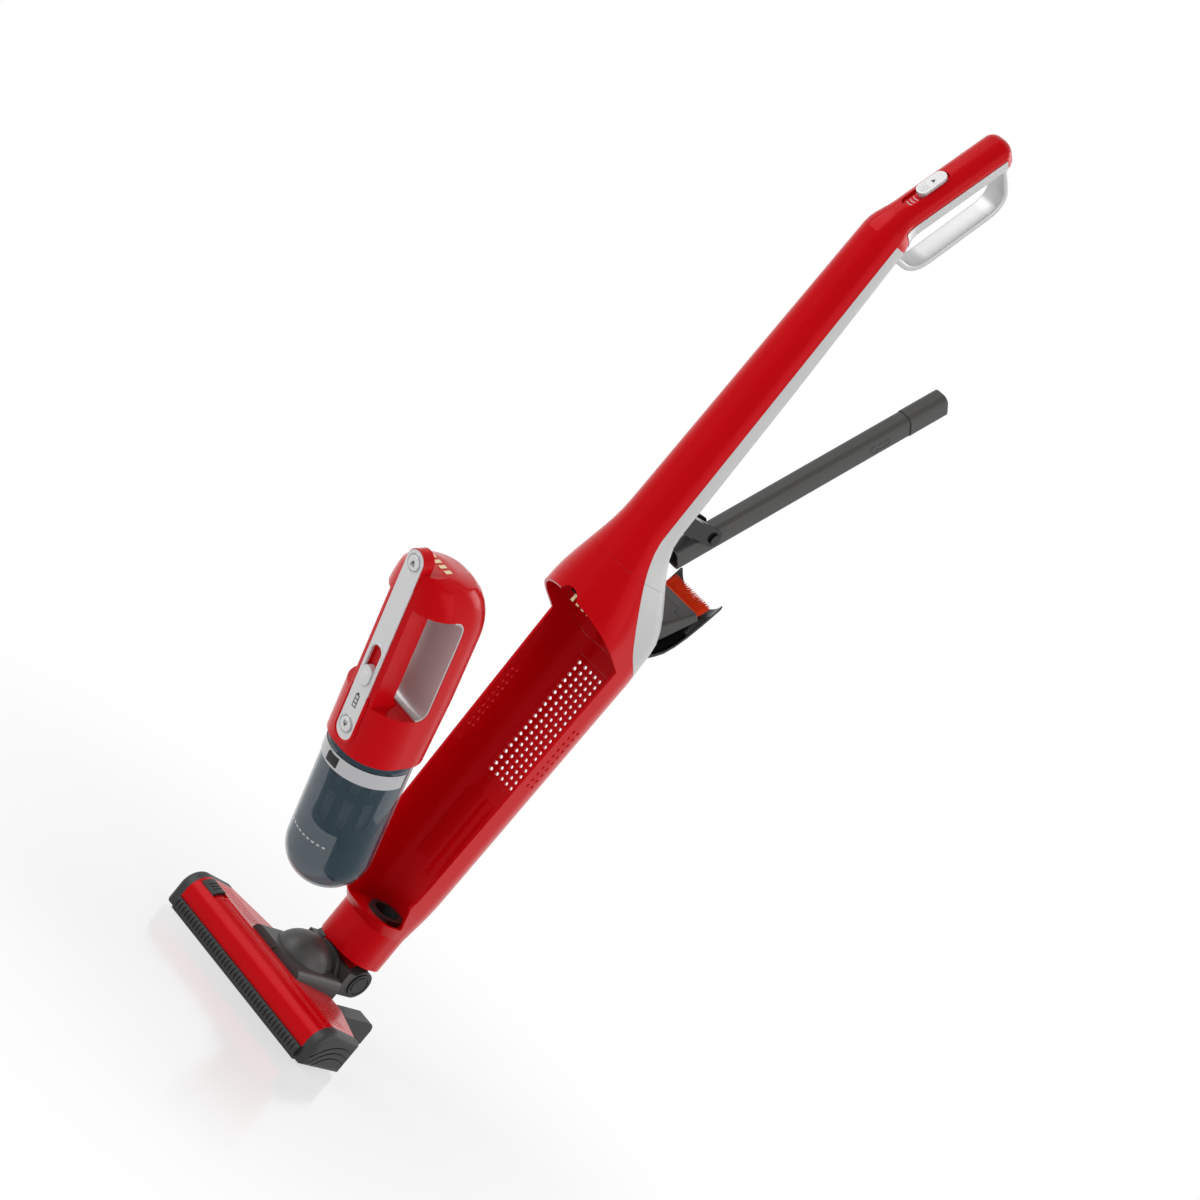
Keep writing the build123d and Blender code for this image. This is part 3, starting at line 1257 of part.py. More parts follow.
def make_control_board():
    low = CELL_LOW + CELL_LENGTH + HOLDER_THICK / 2
    middle = CELL_FRONT_Y + 6
    return HAND_REST * box(-20, 20, middle, middle + BOARD_THICK, low, low + BOARD_HEIGHT)


def make_contact_pads():
    pads = []
    for index in range(CONTACT_COUNT):
        x = contact_place(index)
        pad = box(x - 2.5, x + 2.5, PAD_Y - 4, PAD_Y + 4, HOUSING_TOP, HOUSING_TOP + PAD_THICK)
        pads.append(HAND_REST * pad)
    return Compound(children=pads)


def all_nodes():
    return {
        "nozzle_base": make_nozzle_base(),
        "nozzle_top_cover": make_nozzle_cover(),
        "front_bumper": make_front_bumper(),
        "end_cap_left": make_end_cap(-1),
        "end_cap_right": make_end_cap(1),
        "neck_saddle": make_neck_saddle(),
        "roller_release_slider": make_release_slider(),
        "roller_core": make_roller_core(),
        "roller_fins": make_roller_fins(),
        "roller_bushes": make_roller_bushes(),
        "roller_motor": make_roller_motor(),
        "motor_pulley": make_motor_pulley(),
        "drive_belt": make_drive_belt(),
        "wheel_left": make_wheel(-1),
        "wheel_right": make_wheel(1),
        "wheel_axles": make_wheel_axles(),
        "nozzle_screws": make_nozzle_screws(),
        "neck_body": make_neck_body(),
        "pivot_pin": make_pivot_pin(),
        "pivot_caps": make_pivot_caps(),
        **make_cradle(),
        "vent_grille": make_vent_grille(),
        "tube_front_shell": make_tube_front_shell(),
        "spine_upper": make_spine(SEAM_Z + SEAT / 2, TUBE_TOP_Z),
        "spine_lower": make_spine(SPINE_POINT_Z, SEAM_Z - SEAT / 2),
        "handle_grip": make_handle_grip(),
        "handle_loop": make_handle_loop(),
        "power_slider": make_power_slider(),
        "switch_board": make_switch_board(),
        "dock_socket": make_dock_socket(),
        "contact_block": make_contact_block(),
        "contact_springs": make_contact_springs(),
        "tool_clip": make_tool_clip(),
        "crevice_tool": make_crevice_tool(),
        "crevice_collar": make_crevice_collar(),
        "storage_flap": make_storage_flap(),
        "flap_pin": make_flap_pin(),
        "brush_body": make_brush_body(),
        "brush_bristles": make_brush_bristles(),
        "hand_housing": make_hand_housing(),
        "grip_lining": make_grip_lining(),
        "front_strip": make_front_strip(),
        "release_button": make_hand_button(RELEASE_BUTTON_Z),
        "container_button": make_hand_button(CUP_BUTTON_Z),
        "button_springs": make_button_springs(),
        "hand_switch": make_hand_switch(),
        "vacuum_motor": make_vacuum_motor(),
        "impeller": make_impeller(),
        "battery_cells": make_battery_cells(),
        "battery_holder": make_battery_holder(),
        "control_board": make_control_board(),
        "contact_pads": make_contact_pads(),
        "dust_container": make_dust_container(),
        "container_band": make_container_band(),
        "inlet_duct": make_inlet_duct(),
        "filter_cage": make_filter_cage(),
        "filter_element": make_filter_element(),
        "container_seal": make_container_seal(),
    }


os.makedirs("parts", exist_ok=True)
for name, solid in all_nodes().items():
    export_step(solid, f"parts/{name}.step")
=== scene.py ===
import json
import random
from math import cos, pi, radians, sin, tau

import bmesh
import bpy
from bpy.props import FloatProperty, FloatVectorProperty, IntProperty, PointerProperty
from mathutils import Matrix, Vector


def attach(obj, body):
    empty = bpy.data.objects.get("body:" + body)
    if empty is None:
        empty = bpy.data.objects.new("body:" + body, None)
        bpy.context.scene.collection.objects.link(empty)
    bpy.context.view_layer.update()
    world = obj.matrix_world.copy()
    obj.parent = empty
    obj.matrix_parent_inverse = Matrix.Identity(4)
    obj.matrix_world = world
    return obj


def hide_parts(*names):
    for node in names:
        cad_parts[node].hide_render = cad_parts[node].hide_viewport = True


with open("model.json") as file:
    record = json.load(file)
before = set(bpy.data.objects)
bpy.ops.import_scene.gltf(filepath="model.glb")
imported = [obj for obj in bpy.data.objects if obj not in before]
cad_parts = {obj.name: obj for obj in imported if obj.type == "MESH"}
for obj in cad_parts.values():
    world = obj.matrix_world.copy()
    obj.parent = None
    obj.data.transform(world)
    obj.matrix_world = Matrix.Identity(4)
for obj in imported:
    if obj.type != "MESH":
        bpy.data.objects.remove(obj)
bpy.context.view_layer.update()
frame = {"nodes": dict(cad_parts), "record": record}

bl_info = {
    "name": "Cordless stick vacuum looks",
    "version": (1, 0, 0),
    "blender": (4, 5, 0),
    "location": "3D View > Sidebar > Vacuum",
    "description": "Finishes, small details and stage for a cordless stick vacuum in its packed frame",
    "category": "Object",
}

MM = 0.001

# Places of the opened-out parts, in millimetres and degrees, as the frame has them at rest
HAND_NOSE = (0.0, -57.854, 142.267)
HAND_LEAN = 24.0
TOOL_POLE = (40.0, 539.0)
TOOL_SWING = -36.0
FLAP_HINGE = (102.5, 509.0)
FLAP_OPEN = -66.0
BRUSH_LEAN = 30.0
BRUSH_OFF = 9.0
GRIP_START = (0.0, 3.98, 1030.0)
GRIP_LEAN = -26.0
SLOT_ALONG = 30.0
SLOT_FLOOR = -15.5
GRIP_FRONT = -19.5
STRIP_FACE = -48.5
BUTTON_FACE = -50.0
RELEASE_BUTTON_Z = 399.0
CUP_BUTTON_Z = 205.0
CUP_R = 46.0
HOOD_MIDDLE = 38.0
BRUSH_TIP_FACE = -12.0
BRUSH_TAPER = 12.0 / 54.0


def at(x, y, z):
    """A move to a place in millimetres."""
    return Matrix.Translation(Vector((x, y, z)) * MM)


def about(pole, degrees):
    """A turn about a left-to-right axis through (y, z)."""
    return at(0, *pole) @ Matrix.Rotation(radians(degrees), 4, "X") @ at(0, -pole[0], -pole[1])


UPRIGHT = Matrix.Identity(4)
HAND = at(*HAND_NOSE) @ Matrix.Rotation(radians(HAND_LEAN), 4, "X")
TOOL = about(TOOL_POLE, TOOL_SWING)
FLAP = about(FLAP_HINGE, FLAP_OPEN)


def brush_plane(along):
    """Across the brush, along mm up from the flap's hinge.

    The flap lies on +Y and the bristles point to +Z.
    """
    lean = radians(BRUSH_LEAN)
    origin = at(0, FLAP_HINGE[0] - BRUSH_OFF - along * sin(lean), FLAP_HINGE[1] + along * cos(lean))
    return FLAP @ origin @ Matrix.Rotation(lean, 4, "X")


def grip_plane(along):
    """Across the leaning grip, along mm up from its bend; +Z runs along the grip and -Y is its front."""
    return at(*GRIP_START) @ Matrix.Rotation(radians(GRIP_LEAN), 4, "X") @ at(0, 0, along)


class VacuumFinishes(bpy.types.PropertyGroup):
    red: FloatVectorProperty(
        name="Red", description="Gloss red of the shells", subtype="COLOR", size=3,
        default=(0.66, 0.002, 0.006))
    silver: FloatVectorProperty(
        name="Silver", description="Satin silver of the spine and loop", subtype="COLOR", size=3,
        default=(0.58, 0.58, 0.58))
    strip: FloatVectorProperty(
        name="Strip", description="Pale silver of the handheld's front strip", subtype="COLOR", size=3,
        default=(0.74, 0.74, 0.75))
    charcoal: FloatVectorProperty(
        name="Charcoal", description="Dark grey of the neck and the tools", subtype="COLOR", size=3,
        default=(0.042, 0.040, 0.038))
    black: FloatVectorProperty(
        name="Black", description="Black of the trims", subtype="COLOR", size=3,
        default=(0.010, 0.010, 0.011))
    smoke: FloatVectorProperty(
        name="Smoke", description="Tint of the clear dust container", subtype="COLOR", size=3,
        default=(0.030, 0.075, 0.110))
    bristle: FloatVectorProperty(
        name="Bristle", description="Red-orange of the brush bristles", subtype="COLOR", size=3,
        default=(0.85, 0.055, 0.006))
    gold: FloatVectorProperty(
        name="Gold", description="Pale gold of the contacts", subtype="COLOR", size=3,
        default=(0.80, 0.66, 0.40))


class VacuumDetails(bpy.types.PropertyGroup):
    dot_size: FloatProperty(
        name="Dot size", description="Radius of the nozzle's raised dots, in millimetres",
        default=0.55, min=0.1)
    bead: FloatProperty(
        name="Bead", description="Radius of raised outline beads, in millimetres", default=0.9, min=0.1)
    tuft_rows: IntProperty(name="Tuft rows", description="Rows of bristle tufts", default=3, min=1)
    tuft_columns: IntProperty(name="Tuft columns", description="Tufts in each row", default=18, min=4)
    tuft_strands: IntProperty(name="Tuft strands", description="Bristles in each tuft", default=8, min=1)
    strand_splay: FloatProperty(
        name="Strand splay", description="How far a bristle's tip may lean, in millimetres",
        default=0.35, min=0.0)
    level_dashes: IntProperty(name="Level dashes", description="Dashes of the fill mark", default=9, min=1)


class VacuumStage(bpy.types.PropertyGroup):
    azimuth: FloatProperty(
        name="Azimuth", description="Camera's turn round the vacuum", subtype="ANGLE",
        default=radians(33.68))
    elevation: FloatProperty(
        name="Elevation", description="Camera's height above the horizon", subtype="ANGLE",
        default=radians(8.21))
    roll: FloatProperty(name="Roll", description="Camera's roll", subtype="ANGLE", default=radians(39.61))
    distance: FloatProperty(
        name="Distance", description="Camera's distance from its aim", subtype="DISTANCE", default=3.10515)
    lens: FloatProperty(name="Lens", description="Focal length, in millimetres", default=91.337)
    key: FloatProperty(name="Key light", description="Key light's power", subtype="POWER", default=52.0)
    fill: FloatProperty(name="Fill light", description="Fill light's power", subtype="POWER", default=30.0)
    rim: FloatProperty(name="Rim light", description="Rim light's power", subtype="POWER", default=20.0)
    ambient: FloatProperty(name="Ambient", description="Strength of the even light", default=0.32)


# Shared shader groups


def new_group(name, inputs, outputs):
    group = bpy.data.node_groups.new(name, "ShaderNodeTree")
    for label, kind, default in inputs:
        socket = group.interface.new_socket(label, in_out="INPUT", socket_type=kind)
        socket.default_value = default
    for label, kind in outputs:
        group.interface.new_socket(label, in_out="OUTPUT", socket_type=kind)
    return group, group.nodes.new("NodeGroupInput"), group.nodes.new("NodeGroupOutput")


def noise_node(tree, vector, detail):
    noise = tree.nodes.new("ShaderNodeTexNoise")
    noise.inputs["Detail"].default_value = detail
    tree.links.new(vector, noise.inputs["Vector"])
    return noise


def math_node(tree, operation, first, second):
    node = tree.nodes.new("ShaderNodeMath")
    node.operation = operation
    for socket, value in zip(node.inputs, (first, second)):
        if isinstance(value, (int, float)):
            socket.default_value = value
        else:
            tree.links.new(value, socket)
    return node.outputs[0]


def moulding_group():
    """Uneven colour and gloss of moulded plastic, with a fine grain."""
    group, start, end = new_group(
        "Moulding",
        [
            ("Colour", "NodeSocketColor", (0.5, 0.5, 0.5, 1)),
            ("Variation", "NodeSocketFloat", 0.06),
            ("Roughness", "NodeSocketFloat", 0.3),
            ("Gloss Spread", "NodeSocketFloat", 0.1),
            ("Grain Scale", "NodeSocketFloat", 900.0),
        ],
        [("Colour", "NodeSocketColor"), ("Roughness", "NodeSocketFloat"), ("Height", "NodeSocketFloat")],
    )
    place = group.nodes.new("ShaderNodeTexCoord")
    broad = noise_node(group, place.outputs["Object"], 3.0)
    broad.inputs["Scale"].default_value = 14.0
    fine = noise_node(group, place.outputs["Object"], 4.0)
    group.links.new(start.outputs["Grain Scale"], fine.inputs["Scale"])
    swing = math_node(group, "SUBTRACT", broad.outputs["Fac"], 0.5)
    shade = math_node(group, "MULTIPLY", swing, start.outputs["Variation"])
    value = math_node(group, "ADD", math_node(group, "MULTIPLY", shade, 2.0), 1.0)
    tint = group.nodes.new("ShaderNodeHueSaturation")
    group.links.new(start.outputs["Colour"], tint.inputs["Color"])
    group.links.new(value, tint.inputs["Value"])
    gloss = math_node(group, "MULTIPLY", math_node(group, "SUBTRACT", fine.outputs["Fac"], 0.5),
                      start.outputs["Gloss Spread"])
    group.links.new(tint.outputs["Color"], end.inputs["Colour"])
    group.links.new(math_node(group, "ADD", gloss, start.outputs["Roughness"]), end.inputs["Roughness"])
    group.links.new(fine.outputs["Fac"], end.inputs["Height"])
    return group


def brushing_group():
    """Long fine scratches of brushed metal."""
    group, start, end = new_group(
        "Brushing",
        [("Roughness", "NodeSocketFloat", 0.3), ("Depth", "NodeSocketFloat", 0.15)],
        [("Roughness", "NodeSocketFloat"), ("Height", "NodeSocketFloat")],
    )
    place = group.nodes.new("ShaderNodeTexCoord")
    stretch = group.nodes.new("ShaderNodeMapping")
    stretch.inputs["Scale"].default_value = (30.0, 30.0, 2600.0)
    group.links.new(place.outputs["Object"], stretch.inputs["Vector"])
    scratch = noise_node(group, stretch.outputs["Vector"], 2.0)
    scratch.inputs["Scale"].default_value = 1.0
    spread = math_node(group, "MULTIPLY", math_node(group, "SUBTRACT", scratch.outputs["Fac"], 0.5),
                       start.outputs["Depth"])
    group.links.new(math_node(group, "ADD", spread, start.outputs["Roughness"]), end.inputs["Roughness"])
    group.links.new(scratch.outputs["Fac"], end.inputs["Height"])
    return group


# Depths of grain and scratches, in metres
GRAIN_DEPTH = 0.0002
SCRATCH_DEPTH = 0.0001
SCRATCH_BUMP = 0.12
GROUPS = {}


def group_of(maker):
    """The node group that a maker builds, built once."""
    if maker.__name__ not in GROUPS:
        GROUPS[maker.__name__] = maker()
    return GROUPS[maker.__name__]


def start_material(name):
    material = bpy.data.materials.new(name)
    material.use_nodes = True
    return material, material.node_tree, material.node_tree.nodes["Principled BSDF"]


def add_bump(tree, shader, height, strength, distance):
    bump = tree.nodes.new("ShaderNodeBump")
    bump.inputs["Strength"].default_value = strength
    bump.inputs["Distance"].default_value = distance
    tree.links.new(height, bump.inputs["Height"])
    tree.links.new(bump.outputs["Normal"], shader.inputs["Normal"])


def moulded(name, colour, rough, variation, spread, scale, bump, **constants):
    """A moulded or painted finish; constants are set on the shader's own sockets."""
    material, tree, shader = start_material(name)
    group = tree.nodes.new("ShaderNodeGroup")
    group.node_tree = group_of(moulding_group)
    group.inputs["Colour"].default_value = (*colour, 1.0)
    group.inputs["Variation"].default_value = variation
    group.inputs["Roughness"].default_value = rough
    group.inputs["Gloss Spread"].default_value = spread
    group.inputs["Grain Scale"].default_value = scale
    tree.links.new(group.outputs["Colour"], shader.inputs["Base Color"])
    tree.links.new(group.outputs["Roughness"], shader.inputs["Roughness"])
    add_bump(tree, shader, group.outputs["Height"], bump, GRAIN_DEPTH)
    for label, value in constants.items():
        shader.inputs[label.replace("_", " ").title().replace("Ior", "IOR")].default_value = value
    return material


def brushed(name, colour, rough):
    """A brushed bare metal."""
    material, tree, shader = start_material(name)
    group = tree.nodes.new("ShaderNodeGroup")
    group.node_tree = group_of(brushing_group)
    group.inputs["Roughness"].default_value = rough
    shader.inputs["Base Color"].default_value = (*colour, 1.0)
    shader.inputs["Metallic"].default_value = 1.0
    tree.links.new(group.outputs["Roughness"], shader.inputs["Roughness"])
    add_bump(tree, shader, group.outputs["Height"], SCRATCH_BUMP, SCRATCH_DEPTH)
    return material


def smoked(name, colour, alpha):
    """A tinted clear plastic with a thin glossy coat."""
    material, tree, shader = start_material(name)
    group = tree.nodes.new("ShaderNodeGroup")
    group.node_tree = group_of(moulding_group)
    group.inputs["Colour"].default_value = (*colour, 1.0)
    group.inputs["Roughness"].default_value = 0.06
    group.inputs["Gloss Spread"].default_value = 0.03
    group.inputs["Grain Scale"].default_value = 60.0
    tree.links.new(group.outputs["Colour"], shader.inputs["Base Color"])
    tree.links.new(group.outputs["Roughness"], shader.inputs["Roughness"])
    shader.inputs["Alpha"].default_value = alpha
    shader.inputs["Specular IOR Level"].default_value = 0.3
    shader.inputs["Coat Weight"].default_value = 0.12
    shader.inputs["Coat Roughness"].default_value = 0.03
    material.surface_render_method = "BLENDED"
    return material


FINISH = {}


def make_finishes(tints):
    FINISH.update({
        "gloss_red": moulded(
            "gloss_red", tints.red, rough=0.24, variation=0.05, spread=0.05,
            scale=500.0, bump=0.02, specular_ior_level=0.4, specular_tint=(1.0, 0.10, 0.12, 1.0)),
        "silver": moulded(
            "satin_silver", tints.silver, rough=0.36, variation=0.03, spread=0.08,
            scale=1800.0, bump=0.03, metallic=0.35),
        "light_silver": moulded(
            "strip_silver", tints.strip, rough=0.30, variation=0.03, spread=0.06,
            scale=1600.0, bump=0.03, metallic=0.3),
        "charcoal": moulded(
            "charcoal_grain", tints.charcoal, rough=0.46, variation=0.12, spread=0.16,
            scale=2200.0, bump=0.08),
        "black": moulded(
            "gloss_black", tints.black, rough=0.20, variation=0.10, spread=0.06,
            scale=700.0, bump=0.02, specular_ior_level=0.3),
        "black_matte": moulded(
            "matte_black", (0.014, 0.014, 0.015), rough=0.50, variation=0.12, spread=0.14,
            scale=2000.0, bump=0.15),
        "smoke_clear": smoked("smoky_clear", tints.smoke, alpha=0.50),
        "steel": brushed("brushed_steel", (0.46, 0.46, 0.47), rough=0.24),
        "gold_contact": moulded(
            "contact_gold", tints.gold, rough=0.28, variation=0.05, spread=0.06,
            scale=900.0, bump=0.03, metallic=0.8),
        "bristle": moulded(
            "bristle_red", tints.bristle, rough=0.5, variation=0.18, spread=0.10,
            scale=300.0, bump=0.02, specular_ior_level=0.12),
        "rubber": moulded(
            "soft_rubber", (0.012, 0.012, 0.012), rough=0.62, variation=0.12, spread=0.12,
            scale=1600.0, bump=0.15),
        "board": moulded(
            "circuit_green", (0.012, 0.085, 0.035), rough=0.35, variation=0.10, spread=0.10,
            scale=500.0, bump=0.05),
        "motor_metal": brushed("motor_metal", (0.42, 0.42, 0.43), rough=0.36),
        "cell_wrap": moulded(
            "cell_wrap", (0.03, 0.09, 0.25), rough=0.30, variation=0.06, spread=0.06,
            scale=700.0, bump=0.03),
        "filter": moulded(
            "pleated_filter", (0.60, 0.60, 0.57), rough=0.85, variation=0.08, spread=0.05,
            scale=1500.0, bump=0.25),
        "ink_dark": moulded(
            "dark_marks", (0.05, 0.05, 0.052), rough=0.45, variation=0.05, spread=0.05,
            scale=900.0, bump=0.02),
        "ink_pale": moulded(
            "pale_marks", (0.72, 0.70, 0.70), rough=0.45, variation=0.04, spread=0.05,
            scale=900.0, bump=0.02),
    })


# Mesh makers: each gives vertices in millimetres and faces

# A bead's end ring, as a share of its radius, and how near its way may come to Y before X takes over
END_TAPER = 0.45
NEARLY_ALONG = 0.1
# A dot's foot in millimetres, and its shoulder and crown as shares of its radius
DOT_FOOT = 0.1
DOT_SHOULDER = 0.6
DOT_SHOULDER_RISE = 0.4
DOT_CROWN_RISE = 0.55
# Angles between faces, in degrees, past which an edge is bevelled or shaded sharp
BEVEL_ANGLE = 40.0
SHARP_ANGLE = 35.0


def band(first, second, count):
    """Faces between two closed rings of count vertices, given each ring's first vertex."""
    faces = []
    for k in range(count):
        after = (k + 1) % count
        faces.append((first + k, first + after, second + after, second + k))
    return faces


def prism(outline, low, high):
    """An outline of (x, z) points carried along Y from low to high."""
    count = len(outline)
    verts = [(x, low, z) for x, z in outline] + [(x, high, z) for x, z in outline]
    faces = [tuple(range(count)), tuple(reversed(range(count, 2 * count)))]
    faces += [(i, i + count, (i + 1) % count + count, (i + 1) % count) for i in range(count)]
    return verts, faces


def tube(points, radius, sides=8, closed=False):
    """A round bead along points, with round-looking ends that taper in."""
    points = [Vector(point) for point in points]
    count = len(points)
    turns = [tau * k / sides for k in range(sides)]
    verts = []
    for index, point in enumerate(points):
        if closed:
            way = points[(index + 1) % count] - points[index - 1]
        else:
            way = points[min(index + 1, count - 1)] - points[max(index - 1, 0)]
        way.normalize()
        side = way.cross(Vector((0, 1, 0)))
        if side.length < NEARLY_ALONG:
            side = way.cross(Vector((1, 0, 0)))
        side.normalize()
        up = side.cross(way)
        thin = END_TAPER if not closed and index in (0, count - 1) else 1.0
        verts += [tuple(point + (side * cos(turn) + up * sin(turn)) * radius * thin) for turn in turns]
    faces = []
    spans = count if closed else count - 1
    for ring in range(spans):
        faces += band(ring * sides, (ring + 1) % count * sides, sides)
    if not closed:
        faces.append(tuple(reversed(range(sides))))
        faces.append(tuple(range((count - 1) * sides, count * sides)))
    return verts, faces


def merged(parts):
    """Several shapes as one."""
    verts, faces = [], []
    for part_verts, part_faces in parts:
        shift = len(verts)
        verts += part_verts
        faces += [tuple(i + shift for i in face) for face in part_faces]
    return verts, faces


def oval(half_width, low, high, steps=12):
    """Points of a round-ended upright slot, as (x, z)."""
    points = []
    for step in range(steps + 1):
        angle = pi * step / steps
        points.append((half_width * cos(angle), high - half_width + half_width * sin(angle)))
    for step in range(steps + 1):
        angle = pi + pi * step / steps
        points.append((half_width * cos(angle), low + half_width + half_width * sin(angle)))
    return points


def dome_dot(x, y, z, radius, sides=8):
    """A low raised dot that stands up along Z."""
    verts = []
    for wide, height in ((radius, z - DOT_FOOT), (DOT_SHOULDER * radius, z + DOT_SHOULDER_RISE * radius)):
        for k in range(sides):
            turn = tau * k / sides
            verts.append((x + wide * cos(turn), y + wide * sin(turn), height))
    verts.append((x, y, z + DOT_CROWN_RISE * radius))
    faces = band(0, sides, sides)
    faces += [(k + sides, (k + 1) % sides + sides, 2 * sides) for k in range(sides)]
    faces.append(tuple(reversed(range(sides))))
    return verts, faces


def add_piece(name, shape, slot, body, place=UPRIGHT, finish=None, bevel=0.0):
    """A named piece in the frame, riding on a body and taking a record slot's finish."""
    verts, faces = shape
    mesh = bpy.data.meshes.new(name)
    mesh.from_pydata([place @ (Vector(v) * MM) for v in verts], [], faces)
    edit = bmesh.new()
    edit.from_mesh(mesh)
    bmesh.ops.recalc_face_normals(edit, faces=edit.faces)
    if bevel:
        sharp = [edge for edge in edit.edges if edge.calc_face_angle(0) > radians(BEVEL_ANGLE)]
        bmesh.ops.bevel(edit, geom=sharp, offset=bevel * MM, segments=2, profile=0.7, affect="EDGES")
    edit.to_mesh(mesh)
    edit.free()
    mesh.shade_smooth()
    mesh.set_sharp_from_angle(angle=radians(SHARP_ANGLE))
    piece = bpy.data.objects.new(name, mesh)
    bpy.context.scene.collection.objects.link(piece)
    mesh.materials.append(FINISH[finish or slot])
    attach(piece, body)
    return piece


# CAD shells

WELD_DISTANCE = 0.00001
SHELL_SMOOTH_ANGLE = 28.0
# A face whose normal goes this far against the way out from the hood's middle is an inner face
INNER_FACE = -0.3


def smoothing_group():
    """Welds a shell's facets and rounds the shading where they meet at a small angle."""
    group = bpy.data.node_groups.new("Shell smoothing", "GeometryNodeTree")
    group.interface.new_socket("Geometry", in_out="INPUT", socket_type="NodeSocketGeometry")
    group.interface.new_socket("Geometry", in_out="OUTPUT", socket_type="NodeSocketGeometry")
    nodes = group.nodes
    start, end = nodes.new("NodeGroupInput"), nodes.new("NodeGroupOutput")
    weld = nodes.new("GeometryNodeMergeByDistance")
    weld.inputs["Distance"].default_value = WELD_DISTANCE
    faces = nodes.new("GeometryNodeSetShadeSmooth")
    faces.domain = "FACE"
    edges = nodes.new("GeometryNodeSetShadeSmooth")
    edges.domain = "EDGE"
    angle = nodes.new("GeometryNodeInputMeshEdgeAngle")
    flat = nodes.new("FunctionNodeCompare")
    flat.data_type = "FLOAT"
    flat.operation = "LESS_THAN"
    flat.inputs[1].default_value = radians(SHELL_SMOOTH_ANGLE)
    group.links.new(start.outputs[0], weld.inputs["Geometry"])
    group.links.new(weld.outputs["Geometry"], faces.inputs["Geometry"])
    group.links.new(faces.outputs["Geometry"], edges.inputs["Geometry"])
    group.links.new(angle.outputs["Unsigned Angle"], flat.inputs[0])
    group.links.new(flat.outputs["Result"], edges.inputs["Shade Smooth"])
    group.links.new(edges.outputs["Geometry"], end.inputs[0])
    return group


class VACUUM_OT_paint_shells(bpy.types.Operator):
    """Gives every CAD node its finish and smooth shading"""
    bl_idname = "vacuum.paint_shells"
    bl_label = "Paint the shells"

    def execute(self, context):
        make_finishes(context.scene.vacuum_finishes)
        smoothing = smoothing_group()
        slots = {row["node"]: row["material_slot"] for row in frame["record"]["subparts"]}
        for name, node in frame["nodes"].items():
            node.data.materials.clear()
            node.data.materials.append(FINISH[slots[name]])
            if "custom_normal" in node.data.attributes:
                node.data.attributes.remove(node.data.attributes["custom_normal"])
            smooth = node.modifiers.new("Smoothing", "NODES")
            smooth.node_group = smoothing
        self.redden_inside(frame["nodes"]["spine_lower"])
        return {"FINISHED"}

    def redden_inside(self, spine):
        """The silver skin's inner face shows red inside the hood."""
        spine.data.materials.append(FINISH["gloss_red"])
        for face in spine.data.polygons:
            middle = spine.matrix_world @ face.center
            outward = Vector((middle.x, middle.y - HOOD_MIDDLE * MM, 0.0))
            normal = spine.matrix_world.to_3x3() @ face.normal
            if normal.dot(outward.normalized()) < INNER_FACE:
                face.material_index = 1


# Nozzle details, on the red top's section as (y, z)

NOZZLE_RIDGE = (-30.0, 46.0)
NOZZLE_SLOPE = 9.0 / 70.0
NOSE_CENTRE = (-34.794, 24.206)
NOSE_R = 22.315
# The outline's ends, and its turns about the nose in degrees
OUTLINE_LEFT = -78.0
OUTLINE_RIGHT = 110.0
OUTLINE_END = 2.5
OUTLINE_TURNS = (8.0, 32.0)
OUTLINE_END_TURNS = (12, 20, 28)
OUTLINE_STEPS = 40
# Each dot field's first x, columns and rows
DOT_FIELDS = ((-113.0, 26, 11), (70.0, 17, 11))
DOT_FRONT = -26.0
DOT_PITCH = 2.4


def nozzle_top(y):
    """Height of the red top's back slope."""
    return NOZZLE_RIDGE[1] - NOZZLE_SLOPE * (y - NOZZLE_RIDGE[0])


def nose_point(x, degrees):
    """A point on the rounded nose, turned forward from straight up."""
    turn = radians(degrees)
    return x, NOSE_CENTRE[0] - NOSE_R * sin(turn), NOSE_CENTRE[1] + NOSE_R * cos(turn)


class VACUUM_OT_nozzle_top(bpy.types.Operator):
    """Raised outline along the nose and dot fields on the nozzle's red top"""
    bl_idname = "vacuum.nozzle_top"
    bl_label = "Nozzle top"

    def execute(self, context):
        sizes = context.scene.vacuum_details
        upper, lower = OUTLINE_TURNS
        length = OUTLINE_RIGHT - OUTLINE_LEFT
        shifts = [length * k / OUTLINE_STEPS for k in range(OUTLINE_STEPS + 1)]
        route = [nose_point(OUTLINE_LEFT + shift, upper) for shift in shifts]
        route += [nose_point(OUTLINE_RIGHT + OUTLINE_END, turn) for turn in OUTLINE_END_TURNS]
        route += [nose_point(OUTLINE_RIGHT - shift, lower) for shift in shifts]
        route += [nose_point(OUTLINE_LEFT - OUTLINE_END, turn) for turn in reversed(OUTLINE_END_TURNS)]
        add_piece("nozzle_outline", tube(route, sizes.bead, closed=True), "gloss_red", "nozzle")
        dots = []
        for first, columns, rows in DOT_FIELDS:
            for row in range(rows):
                for column in range(columns):
                    x = first + DOT_PITCH * column + DOT_PITCH / 2 * (row % 2)
                    y = DOT_FRONT + DOT_PITCH * row
                    dots.append(dome_dot(x, y, nozzle_top(y), sizes.dot_size))
        add_piece("nozzle_dots", merged(dots), "gloss_red", "nozzle")
        return {"FINISHED"}


# Cradle flutes: (across, rise) points of one flute, and the heights of its rows

CRADLE_MIDDLE = 60.0
FLUTE_PROFILE = ((-9.5, -0.3), (-6.0, 0.9), (0.0, 1.6), (6.0, 0.9), (9.5, -0.3))
FLUTE_MIDDLES = (-22.0, 0.0, 22.0)
FLUTE_HEIGHTS = [182.0 + 9.0 * k for k in range(13)]
FLUTE_END_RISE = -0.3


